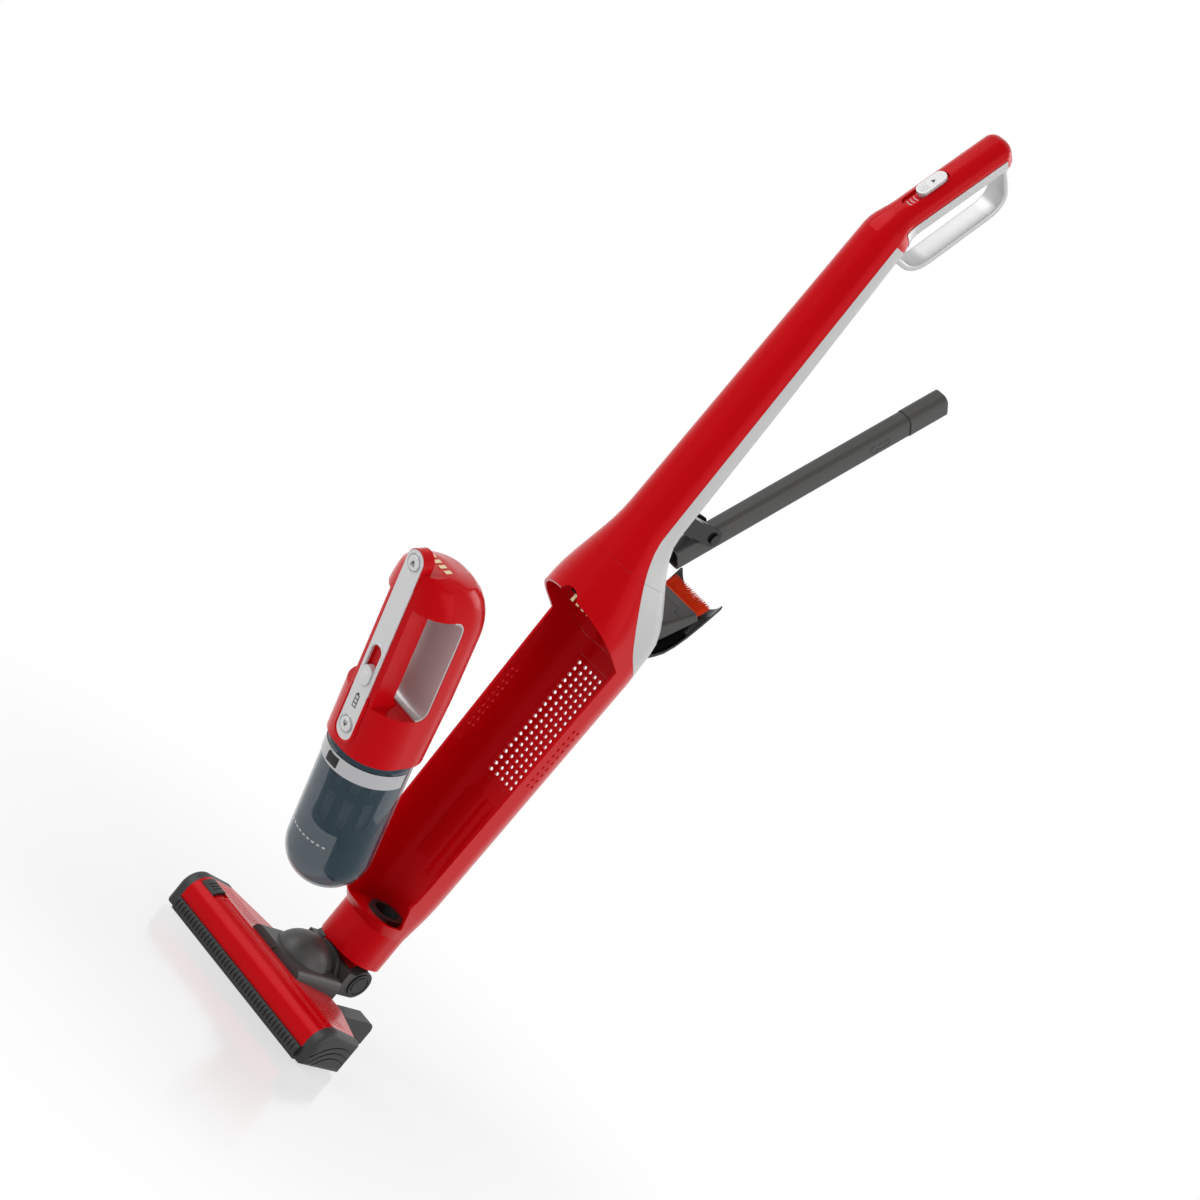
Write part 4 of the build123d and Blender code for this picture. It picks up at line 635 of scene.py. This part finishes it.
def wall_point(node, x, z):
    """Where a line going back from the cradle's middle meets a node's inner wall, in metres."""
    back = node.matrix_world.inverted()
    start = back @ (Vector((x, CRADLE_MIDDLE, z)) * MM)
    way = back.to_3x3() @ Vector((0, 1, 0))
    hit, place, _, _ = node.ray_cast(start, way)
    if not hit:
        raise RuntimeError("no wall behind x %s, z %s" % (x, z))
    return node.matrix_world @ place


class VACUUM_OT_cradle_flutes(bpy.types.Operator):
    """Wide raised flutes low on the cradle's inner back"""
    bl_idname = "vacuum.cradle_flutes"
    bl_label = "Cradle flutes"

    def execute(self, context):
        wall = frame["nodes"]["cradle_shell"]
        wide, last = len(FLUTE_PROFILE), len(FLUTE_HEIGHTS) - 1
        parts = []
        for middle in FLUTE_MIDDLES:
            verts = []
            for row, z in enumerate(FLUTE_HEIGHTS):
                for shift, lift in FLUTE_PROFILE:
                    place = wall_point(wall, middle + shift, z) / MM
                    rise = FLUTE_END_RISE if row in (0, last) else lift
                    verts.append((place.x, place.y - rise, place.z))
            faces = []
            for row in range(last):
                for k in range(wide - 1):
                    near = row * wide + k
                    faces.append((near, near + 1, near + wide + 1, near + wide))
            parts.append((verts, faces))
        add_piece("cradle_flutes", merged(parts), "gloss_red", "stick")
        return {"FINISHED"}


# Grip marks, across and along the grip: one bowed mark, then the switch's ridges and arrow

MARK_BOW = ((-3.8, 1.1), (-1.9, 0.3), (0.0, 0.0), (1.9, 0.3), (3.8, 1.1))
MARK_LOWS = [-23.0 + 4.2 * k for k in range(3)]
MARK_THICK = 0.9
MARK_PROUD = 0.1
MARK_SUNK = 0.2
SLIDER_PROUD = 3.0
RIDGE_HALF = 4.6
RIDGE_BEAD = 0.6
RIDGE_PLACES = [-6.0 + 2.6 * k for k in range(4)]
POWER_ARROW = [(-2.6, 9.0), (2.6, 9.0), (0.0, 13.2)]
POWER_ARROW_PROUD = 0.15


class VACUUM_OT_grip_marks(bpy.types.Operator):
    """Setting marks in the grip's slot, and the ridges and arrow of its slide switch"""
    bl_idname = "vacuum.grip_marks"
    bl_label = "Grip marks"

    def execute(self, context):
        place = grip_plane(SLOT_ALONG)
        marks = []
        for low in MARK_LOWS:
            bow = [(x, low + rise) for x, rise in MARK_BOW]
            outline = bow + [(x, z + MARK_THICK) for x, z in reversed(bow)]
            marks.append(prism(outline, SLOT_FLOOR - MARK_PROUD, SLOT_FLOOR + MARK_SUNK))
        add_piece("setting_marks", merged(marks), "silver", "stick", place, "ink_pale")
        top = GRIP_FRONT - SLIDER_PROUD
        ridges = []
        for z in RIDGE_PLACES:
            ridges.append(tube([(x, top, z) for x in (-RIDGE_HALF, 0.0, RIDGE_HALF)], RIDGE_BEAD))
        add_piece("power_ridges", merged(ridges), "silver", "power_slider", place)
        arrow = prism(POWER_ARROW, top - POWER_ARROW_PROUD, top + MARK_SUNK)
        add_piece("power_arrow", arrow, "silver", "power_slider", place, "ink_dark")
        return {"FINISHED"}


def softened(corners, cuts, steps=8):
    """A path of (y, z) points whose inner corners are rounded off, each over its own cut length."""
    path = [corners[0]]
    for before, corner, after, cut in zip(corners, corners[1:], corners[2:], cuts):
        before, corner, after = Vector(before), Vector(corner), Vector(after)
        start = corner + (before - corner).normalized() * cut
        end = corner + (after - corner).normalized() * cut
        for step in range(steps + 1):
            share = step / steps
            path.append(tuple(start.lerp(corner, share).lerp(corner.lerp(end, share), share)))
    path.append(corners[-1])
    return path


def strap(path, half_width, half_thick, edge, steps=4):
    """A flat strap with rounded edges along a path of (y, z) points."""
    section = []
    for side, face, start in ((1, 1, 0), (-1, 1, 90), (-1, -1, 180), (1, -1, 270)):
        for step in range(steps + 1):
            angle = radians(start + 90 * step / steps)
            across = side * (half_width - edge) + edge * cos(angle)
            off = face * (half_thick - edge) + edge * sin(angle)
            section.append((across, off))
    count = len(section)
    verts = []
    for index, (y, z) in enumerate(path):
        near, far = path[max(index - 1, 0)], path[min(index + 1, len(path) - 1)]
        way = Vector((far[0] - near[0], far[1] - near[1])).normalized()
        verts += [(x, y - way.y * off, z + way.x * off) for x, off in section]
    faces = [tuple(range(count)), tuple(range(len(verts) - count, len(verts)))]
    for ring in range(len(path) - 1):
        faces += band(ring * count, (ring + 1) * count, count)
    return verts, faces


# Handle loop: the (y, z) corners of its path, the cut at each inner corner, and the strap's section

LOOP_CORNERS = ((12.0, 994.0), (61.8, 994.0), (115.0, 1109.0), (60.0, 1136.2))
LOOP_CUTS = (22.0, 27.0)
LOOP_HALF_WIDTH = 13.0
LOOP_HALF_THICK = 3.5
LOOP_EDGE = 2.4

# Grip lining: turns about the grip, rows along it, and its two faces off the grip's own

LINING_TURNS = [radians(-96 + 12 * k) for k in range(17)]
LINING_ROWS = [-13.0 + 7.0 * k for k in range(20)]
LINING_SEARCH = 60.0
LINING_PROUD = 0.7
LINING_SUNK = 0.5


class VACUUM_OT_handle_loop(bpy.types.Operator):
    """Rounded silver loop behind the grip and the silver lining along the grip's back"""
    bl_idname = "vacuum.handle_loop"
    bl_label = "Handle loop"

    def execute(self, context):
        loop = strap(softened(LOOP_CORNERS, LOOP_CUTS), LOOP_HALF_WIDTH, LOOP_HALF_THICK, LOOP_EDGE)
        piece = add_piece("rounded_loop", loop, "silver", "stick")
        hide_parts("handle_loop")
        add_piece("grip_backing", self.backing(), "silver", "stick")
        return {"FINISHED"}

    def backing(self):
        """A thin lining that follows the back of the red grip."""
        grip = frame["nodes"]["handle_grip"]
        inverse = grip.matrix_world.inverted()
        outer, inner = [], []
        for along in LINING_ROWS:
            place = grip_plane(along)
            middle = place @ Vector((0, 0, 0))
            for turn in LINING_TURNS:
                start = place @ (Vector((LINING_SEARCH * sin(turn), LINING_SEARCH * cos(turn), 0)) * MM)
                way = (middle - start).normalized()
                hit, spot, _, _ = grip.ray_cast(inverse @ start, inverse.to_3x3() @ way)
                if not hit:
                    raise RuntimeError("no grip at %s" % along)
                spot = grip.matrix_world @ spot
                outer.append(tuple((spot - way * LINING_PROUD * MM) / MM))
                inner.append(tuple((spot + way * LINING_SUNK * MM) / MM))
        wide, count, last = len(LINING_TURNS), len(outer), len(LINING_ROWS) - 1
        faces = []
        for row in range(last):
            for k in range(wide - 1):
                near = row * wide + k
                quad = (near, near + 1, near + wide + 1, near + wide)
                faces += [quad, tuple(i + count for i in reversed(quad))]
        rim = list(range(wide)) + [row * wide + wide - 1 for row in range(1, last + 1)]
        rim += list(range(count - 2, count - wide - 1, -1))
        rim += [row * wide for row in range(last - 1, 0, -1)]
        for near, far in zip(rim, rim[1:] + rim[:1]):
            faces.append((near, far, far + count, near + count))
        return outer + inner, faces


# Front strip marks, across and along the handheld

STRIP_MARK_PROUD = 0.12
BUTTON_ARROW = ((-3.0, -1.2), (3.0, -1.2), (0.0, 2.8))
BUTTON_BAR = ((-3.0, -3.2), (3.0, -3.2), (3.0, -2.2), (-3.0, -2.2))
BUTTON_RIM_R = 9.3
BUTTON_RIM_BEAD = 0.6
BUTTON_RIM_STEPS = 40
SWITCH_SLOT = (9.0, 252.0, 302.0)
SWITCH_RIM_BEAD = 0.8
SWITCH_PROUD = 2.2
SWITCH_RIDGES = (260, 263, 266, 269)
SWITCH_RIDGE_HALF = 4.5
SWITCH_RIDGE_BEAD = 0.5
GAUGE_CASE = [(-3, 226), (3, 226), (3, 241), (1.4, 241), (1.4, 243), (-1.4, 243), (-1.4, 241), (-3, 241)]
GAUGE_CELLS = (227.2, 231.8, 236.4)
GAUGE_CELL_TALL = 3.2
GAUGE_CELL_PROUD = 0.2
COLLAR_REACH = 13.6
COLLAR_MIDDLE = 200.0
COLLAR_RISES = (46, 36, 26, 14, 4)
COLLAR_STEPS = 24
COLLAR_SUNK = 0.6
COLLAR_BEAD = 1.7


class VACUUM_OT_strip_marks(bpy.types.Operator):
    """Arrows, rims, battery gauge and collar of the handheld's front strip"""
    bl_idname = "vacuum.strip_marks"
    bl_label = "Strip marks"

    def execute(self, context):
        for name, body, z, way in (
            ("release_arrow", "release_button", RELEASE_BUTTON_Z, 1),
            ("container_arrow", "container_button", CUP_BUTTON_Z, -1),
        ):
            parts = []
            for mark in (BUTTON_ARROW, BUTTON_BAR):
                outline = [(x, z + rise * way) for x, rise in mark]
                parts.append(prism(outline, BUTTON_FACE - STRIP_MARK_PROUD, BUTTON_FACE + MARK_SUNK))
            add_piece(name, merged(parts), "light_silver", body, HAND, "ink_dark")
            turns = [tau * k / BUTTON_RIM_STEPS for k in range(BUTTON_RIM_STEPS)]
            rim = [(BUTTON_RIM_R * cos(turn), STRIP_FACE, z + BUTTON_RIM_R * sin(turn)) for turn in turns]
            bead = tube(rim, BUTTON_RIM_BEAD, closed=True)
            add_piece(name.replace("arrow", "rim"), bead, "light_silver", "handheld", HAND, "steel")
        slot = [(x, STRIP_FACE, z) for x, z in oval(*SWITCH_SLOT)]
        bead = tube(slot, SWITCH_RIM_BEAD, closed=True)
        add_piece("switch_rim", bead, "light_silver", "handheld", HAND)
        case = prism(GAUGE_CASE, STRIP_FACE - STRIP_MARK_PROUD, STRIP_FACE + MARK_SUNK)
        add_piece("battery_gauge", case, "light_silver", "handheld", HAND, "ink_dark")
        cells = []
        for z in GAUGE_CELLS:
            cell = [(-2, z), (2, z), (2, z + GAUGE_CELL_TALL), (-2, z + GAUGE_CELL_TALL)]
            cells.append(prism(cell, STRIP_FACE - GAUGE_CELL_PROUD, STRIP_FACE))
        add_piece("battery_cells_lit", merged(cells), "light_silver", "handheld", HAND, "ink_pale")
        ridges = []
        for z in SWITCH_RIDGES:
            across = (-SWITCH_RIDGE_HALF, 0.0, SWITCH_RIDGE_HALF)
            ridges.append(tube([(x, STRIP_FACE - SWITCH_PROUD, z) for x in across], SWITCH_RIDGE_BEAD))
        add_piece("hand_switch_ridges", merged(ridges), "light_silver", "hand_switch", HAND)
        route = [(-COLLAR_REACH, COLLAR_MIDDLE + rise) for rise in COLLAR_RISES]
        for k in range(COLLAR_STEPS + 1):
            turn = pi * k / COLLAR_STEPS
            route.append((-COLLAR_REACH * cos(turn), COLLAR_MIDDLE - COLLAR_REACH * sin(turn)))
        route += [(COLLAR_REACH, COLLAR_MIDDLE + rise) for rise in reversed(COLLAR_RISES)]
        collar = tube([(x, STRIP_FACE + COLLAR_SUNK, z) for x, z in route], COLLAR_BEAD, sides=10)
        add_piece("strip_collar", collar, "gloss_red", "handheld", HAND)
        return {"FINISHED"}


# Fill mark and latch of the dust container; the dashes' turns are in degrees

DASH_FIRST = -118
DASH_STEP = 8.0
DASH_HALF_SPAN = 2.2
DASH_LOW = 66.0
DASH_HIGH = 67.6
DASH_PROUD = 0.08
DASH_INNER_SHARE = 0.997
BOX_FACES = [(0, 1, 3, 2), (4, 6, 7, 5), (0, 4, 5, 1), (2, 3, 7, 6), (0, 2, 6, 4), (1, 5, 7, 3)]
LATCH = [(-8, 155), (8, 155), (8, 166), (-8, 166)]
LATCH_PROUD = 1.6
LATCH_SUNK = 1.0
LATCH_BEVEL = 0.5


class VACUUM_OT_container_marks(bpy.types.Operator):
    """Dashed fill mark on the dust container and the latch on its steel band"""
    bl_idname = "vacuum.container_marks"
    bl_label = "Container marks"

    def execute(self, context):
        span = radians(DASH_HALF_SPAN)
        radius = CUP_R + DASH_PROUD
        dashes = []
        for index in range(context.scene.vacuum_details.level_dashes):
            middle = radians(DASH_FIRST + DASH_STEP * index)
            ends = [middle + side * span for side in (-1, 1)]
            low = [(radius * cos(end), radius * sin(end), DASH_LOW) for end in ends]
            high = [(x, y, DASH_HIGH) for x, y, _ in low]
            inner = [(x * DASH_INNER_SHARE, y * DASH_INNER_SHARE, z) for x, y, z in low + high]
            dashes.append((low + high + inner, BOX_FACES))
        add_piece("fill_mark", merged(dashes), "smoke_clear", "container", HAND, "ink_pale")
        latch = prism(LATCH, -CUP_R - LATCH_PROUD, -CUP_R + LATCH_SUNK)
        add_piece("band_latch", latch, "black", "container", HAND, bevel=LATCH_BEVEL)
        return {"FINISHED"}


# Dusting brush: the bed under its tufts, the field of tufts, one strand, and the seam's (x, z) points

BRUSH_ALONG = 70.0
BED = [(-30, 0), (30, 0), (30, 2), (-30, 2)]
BED_DEPTHS = (-10.5, -1.5)
FIELD_HALF = 29.0
FIELD_DEEP = 9.0
FIELD_MIDDLE = -6.0
CLUMP = 0.5
STRAND_LENGTH = 20.0
STRAND_UNEVEN = 1.4
STRAND_FOOT = 1
STRAND_R = 0.3
DEPTH_SPLAY = 0.6
STRAND_SEED = 4
SEAM = ((-31.0, -11.0), (14.0, -11.0), (16.5, -13.5), (16.5, -18.0), (30.5, -18.0))
SEAM_BEAD = 0.35


class VACUUM_OT_bristles(bpy.types.Operator):
    """Bristle tufts of the dusting brush and the seam of its body"""
    bl_idname = "vacuum.bristles"
    bl_label = "Bristles"

    def execute(self, context):
        sizes = context.scene.vacuum_details
        draw = random.Random(STRAND_SEED)
        place = brush_plane(BRUSH_ALONG)
        parts = [prism(BED, *BED_DEPTHS)]
        for row in range(sizes.tuft_rows):
            for column in range(sizes.tuft_columns):
                x = -FIELD_HALF + 2 * FIELD_HALF * (column + 0.5) / sizes.tuft_columns
                y = FIELD_MIDDLE - FIELD_DEEP / 2 + FIELD_DEEP * (row + 0.5) / sizes.tuft_rows
                for strand in range(sizes.tuft_strands):
                    turn = tau * strand / sizes.tuft_strands
                    foot = (x + CLUMP * cos(turn), y + CLUMP * sin(turn))
                    lean_x = draw.uniform(-1, 1) * sizes.strand_splay
                    lean_y = draw.uniform(-1, 1) * sizes.strand_splay * DEPTH_SPLAY
                    tall = STRAND_LENGTH - draw.uniform(0, STRAND_UNEVEN)
                    route = []
                    for share in (0.0, 0.5, 1.0):
                        bend = share * share
                        height = STRAND_FOOT + (tall - STRAND_FOOT) * share
                        route.append((foot[0] + lean_x * bend, foot[1] + lean_y * bend, height))
                    parts.append(tube(route, STRAND_R, sides=4))
        piece = add_piece("brush_strands", merged(parts), "bristle", "brush", place)
        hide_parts("brush_bristles")
        seam = [(x, BRUSH_TIP_FACE + BRUSH_TAPER * z, z) for x, z in SEAM]
        add_piece("brush_seam", tube(seam, SEAM_BEAD, sides=6), "black_matte", "brush", place)
        return {"FINISHED"}


# Pleated filter

PLEATS = 20
PLEAT_STEPS = 8
PLEAT_MIDDLE_R = 22.0
PLEAT_DEPTH = 2.9
FILTER_LOW = 77.0
FILTER_HIGH = 166.0
FILTER_BORE_R = 15.0
FILTER_FLOOR = 4


class VACUUM_OT_filter(bpy.types.Operator):
    """Pleated filter inside the container's cage"""
    bl_idname = "vacuum.filter"
    bl_label = "Filter"

    def execute(self, context):
        count = PLEATS * PLEAT_STEPS
        turns = [tau * k / count for k in range(count)]
        verts = []
        for z in (FILTER_LOW, FILTER_HIGH):
            for turn in turns:
                radius = PLEAT_MIDDLE_R + PLEAT_DEPTH * cos(PLEATS * turn)
                verts.append((radius * cos(turn), radius * sin(turn), z))
        for z in (FILTER_HIGH, FILTER_LOW + FILTER_FLOOR):
            verts += [(FILTER_BORE_R * cos(turn), FILTER_BORE_R * sin(turn), z) for turn in turns]
        faces = []
        for ring in range(3):
            faces += band(ring * count, (ring + 1) * count, count)
        faces.append(tuple(reversed(range(count))))
        faces.append(tuple(range(3 * count, 4 * count)))
        piece = add_piece("filter_pleats", (verts, faces), "filter", "container", HAND)
        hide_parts("filter_element")
        return {"FINISHED"}


# Keyhole outlines on the crevice tool's two sides, as (y, z)

TOOL_SIDE = 11.0
KEYHOLE_MIDDLE = (21.0, 880.0)
KEYHOLE_R = 5.0
KEYHOLE_TURNS = [radians(25 + 310 * k / 30) for k in range(31)]
KEYHOLE_STEM = ((17.0, 890.0), (17.0, 900.0), (25.0, 900.0), (25.0, 890.0))
KEYHOLE_BEAD = 0.5


class VACUUM_OT_tool_details(bpy.types.Operator):
    """Thumb outline on each side of the crevice tool"""
    bl_idname = "vacuum.tool_details"
    bl_label = "Tool details"

    def execute(self, context):
        middle_y, middle_z = KEYHOLE_MIDDLE
        ring = [
            (middle_y + KEYHOLE_R * sin(turn), middle_z + KEYHOLE_R * cos(turn)) for turn in KEYHOLE_TURNS
        ]
        outlines = []
        for face in (-TOOL_SIDE, TOOL_SIDE):
            keyhole = [(face, y, z) for y, z in (*ring, *KEYHOLE_STEM)]
            outlines.append(tube(keyhole, KEYHOLE_BEAD, closed=True))
        add_piece("tool_thumb_outline", merged(outlines), "charcoal", "crevice_tool", TOOL)
        return {"FINISHED"}


# Stage, with lengths in metres: lamps as (size, place), floor fades as (centre, distances, values)

AIM = (0.0, 0.0, 0.55)
KEY_LAMP = (2.2, (-1.9, -2.3, 2.4))
FILL_LAMP = (2.4, (3.0, 0.1, 1.3))
RIM_LAMP = (1.6, (0.8, 2.4, 2.2))
FLOOR_HALF = 20
FLOOR_DROP = 0.0006
FLOOR_COLOUR = (0.9, 0.9, 0.9, 1)
FLOOR_SHINE_ROUGHNESS = 0.15
WHITE_FADE = ((0.02, 0.0, 0.0), (0.12, 0.75), (0.80, 1.0))
MIRROR_FADE = ((0.08, -0.12, 0.0), (0.0, 0.36), (0.22, 0.0))
CAMERA_AIM = (0.0, 0.02, 0.53854)
CLIP_END = 100.0
# The camera's sensor, in millimetres
SENSOR_WIDTH = 36.0


def seen_rays(tree, paths):
    """One for rays that a viewer sees, straight, mirrored or through clear plastic; nought for the rest."""
    seen = math_node(tree, "MAXIMUM", paths.outputs["Is Camera Ray"], paths.outputs["Is Glossy Ray"])
    return math_node(tree, "MAXIMUM", seen, paths.outputs["Is Transmission Ray"])


def area_light(name, power, size, place):
    lamp = bpy.data.lights.new(name, "AREA")
    lamp.energy = power
    lamp.size = size
    light = bpy.data.objects.new(name, lamp)
    light.location = place
    light.rotation_euler = (Vector(AIM) - Vector(place)).to_track_quat("-Z", "Y").to_euler()
    bpy.context.scene.collection.objects.link(light)


class VACUUM_OT_stage(bpy.types.Operator):
    """Pale floor, soft lights and the photograph's camera"""
    bl_idname = "vacuum.stage"
    bl_label = "Stage"

    def execute(self, context):
        setup = context.scene.vacuum_stage
        scene = context.scene
        scene.view_settings.view_transform = "Standard"
        self.make_world(scene, setup)
        self.make_floor()
        area_light("key", setup.key, *KEY_LAMP)
        area_light("fill", setup.fill, *FILL_LAMP)
        area_light("rim", setup.rim, *RIM_LAMP)
        self.make_camera(scene, setup)
        return {"FINISHED"}

    def make_world(self, scene, setup):
        world = bpy.data.worlds.new("studio")
        scene.world = world
        world.use_nodes = True
        tree = world.node_tree
        back = tree.nodes["Background"]
        back.inputs["Color"].default_value = (1, 1, 1, 1)
        seen = seen_rays(tree, tree.nodes.new("ShaderNodeLightPath"))
        strength = tree.nodes.new("ShaderNodeMapRange")
        strength.inputs["To Min"].default_value = setup.ambient
        strength.inputs["To Max"].default_value = 1.0
        tree.links.new(seen, strength.inputs["Value"])
        tree.links.new(strength.outputs["Result"], back.inputs["Strength"])

    def make_floor(self):
        mesh = bpy.data.meshes.new("floor")
        corners = [(x * FLOOR_HALF, y * FLOOR_HALF, 0) for x, y in ((-1, -1), (1, -1), (1, 1), (-1, 1))]
        mesh.from_pydata(corners, [], [(0, 1, 2, 3)])
        floor = bpy.data.objects.new("floor", mesh)
        floor.location.z = -FLOOR_DROP
        bpy.context.scene.collection.objects.link(floor)
        material = bpy.data.materials.new("pale_floor")
        material.use_nodes = True
        tree = material.node_tree
        tree.nodes.clear()
        out = tree.nodes.new("ShaderNodeOutputMaterial")
        lit = tree.nodes.new("ShaderNodeBsdfDiffuse")
        lit.inputs["Color"].default_value = FLOOR_COLOUR
        glow = tree.nodes.new("ShaderNodeEmission")
        shine = tree.nodes.new("ShaderNodeBsdfGlossy")
        shine.inputs["Roughness"].default_value = FLOOR_SHINE_ROUGHNESS
        paths = tree.nodes.new("ShaderNodeLightPath")
        seen = seen_rays(tree, paths)
        place = tree.nodes.new("ShaderNodeNewGeometry")
        white = self.fade(tree, place, *WHITE_FADE)
        mirror = self.fade(tree, place, *MIRROR_FADE)
        pale = tree.nodes.new("ShaderNodeMixShader")
        tree.links.new(math_node(tree, "MULTIPLY", seen, white), pale.inputs["Fac"])
        tree.links.new(lit.outputs[0], pale.inputs[1])
        tree.links.new(glow.outputs[0], pale.inputs[2])
        wet = tree.nodes.new("ShaderNodeMixShader")
        share = math_node(tree, "MULTIPLY", paths.outputs["Is Camera Ray"], mirror)
        tree.links.new(share, wet.inputs["Fac"])
        tree.links.new(pale.outputs[0], wet.inputs[1])
        tree.links.new(shine.outputs[0], wet.inputs[2])
        tree.links.new(wet.outputs[0], out.inputs["Surface"])
        mesh.materials.append(material)

    def fade(self, tree, place, centre, reach, values):
        """A value that goes from one to another between two distances from a place on the floor."""
        away = tree.nodes.new("ShaderNodeVectorMath")
        away.operation = "DISTANCE"
        away.inputs[1].default_value = centre
        tree.links.new(place.outputs["Position"], away.inputs[0])
        ramp = tree.nodes.new("ShaderNodeMapRange")
        ramp.interpolation_type = "SMOOTHSTEP"
        for label, value in zip(("From Min", "From Max", "To Min", "To Max"), (*reach, *values)):
            ramp.inputs[label].default_value = value
        tree.links.new(away.outputs["Value"], ramp.inputs["Value"])
        return ramp.outputs["Result"]

    def make_camera(self, scene, setup):
        back = Vector((
            sin(setup.azimuth) * cos(setup.elevation),
            -cos(setup.azimuth) * cos(setup.elevation),
            sin(setup.elevation),
        ))
        right = Vector((cos(setup.azimuth), sin(setup.azimuth), 0.0))
        up = back.cross(right)
        across = right * cos(setup.roll) + up * sin(setup.roll)
        above = up * cos(setup.roll) - right * sin(setup.roll)
        lens = bpy.data.cameras.new("photo_camera")
        lens.lens = setup.lens
        lens.sensor_width = SENSOR_WIDTH
        lens.clip_end = CLIP_END
        camera = bpy.data.objects.new("photo_camera", lens)
        turned = Matrix((across, above, back)).transposed().to_4x4()
        camera.matrix_world = Matrix.Translation(Vector(CAMERA_AIM) + back * setup.distance) @ turned
        scene.collection.objects.link(camera)
        scene.camera = camera


STEPS = (
    VACUUM_OT_paint_shells, VACUUM_OT_nozzle_top, VACUUM_OT_cradle_flutes, VACUUM_OT_grip_marks,
    VACUUM_OT_handle_loop, VACUUM_OT_strip_marks, VACUUM_OT_container_marks, VACUUM_OT_bristles,
    VACUUM_OT_filter, VACUUM_OT_tool_details, VACUUM_OT_stage,
)


class VACUUM_PT_panel(bpy.types.Panel):
    """Lists the vacuum's pieces in the order they are made"""
    bl_idname = "VACUUM_PT_panel"
    bl_label = "Stick vacuum"
    bl_space_type = "VIEW_3D"
    bl_region_type = "UI"
    bl_category = "Vacuum"

    def draw(self, context):
        for step in STEPS:
            self.layout.operator(step.bl_idname)


SETTINGS = (
    ("vacuum_finishes", VacuumFinishes), ("vacuum_details", VacuumDetails), ("vacuum_stage", VacuumStage),
)


def register():
    for name, settings in SETTINGS:
        bpy.utils.register_class(settings)
        setattr(bpy.types.Scene, name, PointerProperty(type=settings))
    for step in (*STEPS, VACUUM_PT_panel):
        bpy.utils.register_class(step)


def unregister():
    for step in reversed((*STEPS, VACUUM_PT_panel)):
        bpy.utils.unregister_class(step)
    for name, settings in reversed(SETTINGS):
        delattr(bpy.types.Scene, name)
        bpy.utils.unregister_class(settings)


def main():
    register()
    for step in STEPS:
        family, name = step.bl_idname.split(".")
        getattr(getattr(bpy.ops, family), name)()


if __name__ == "__main__":
    main()
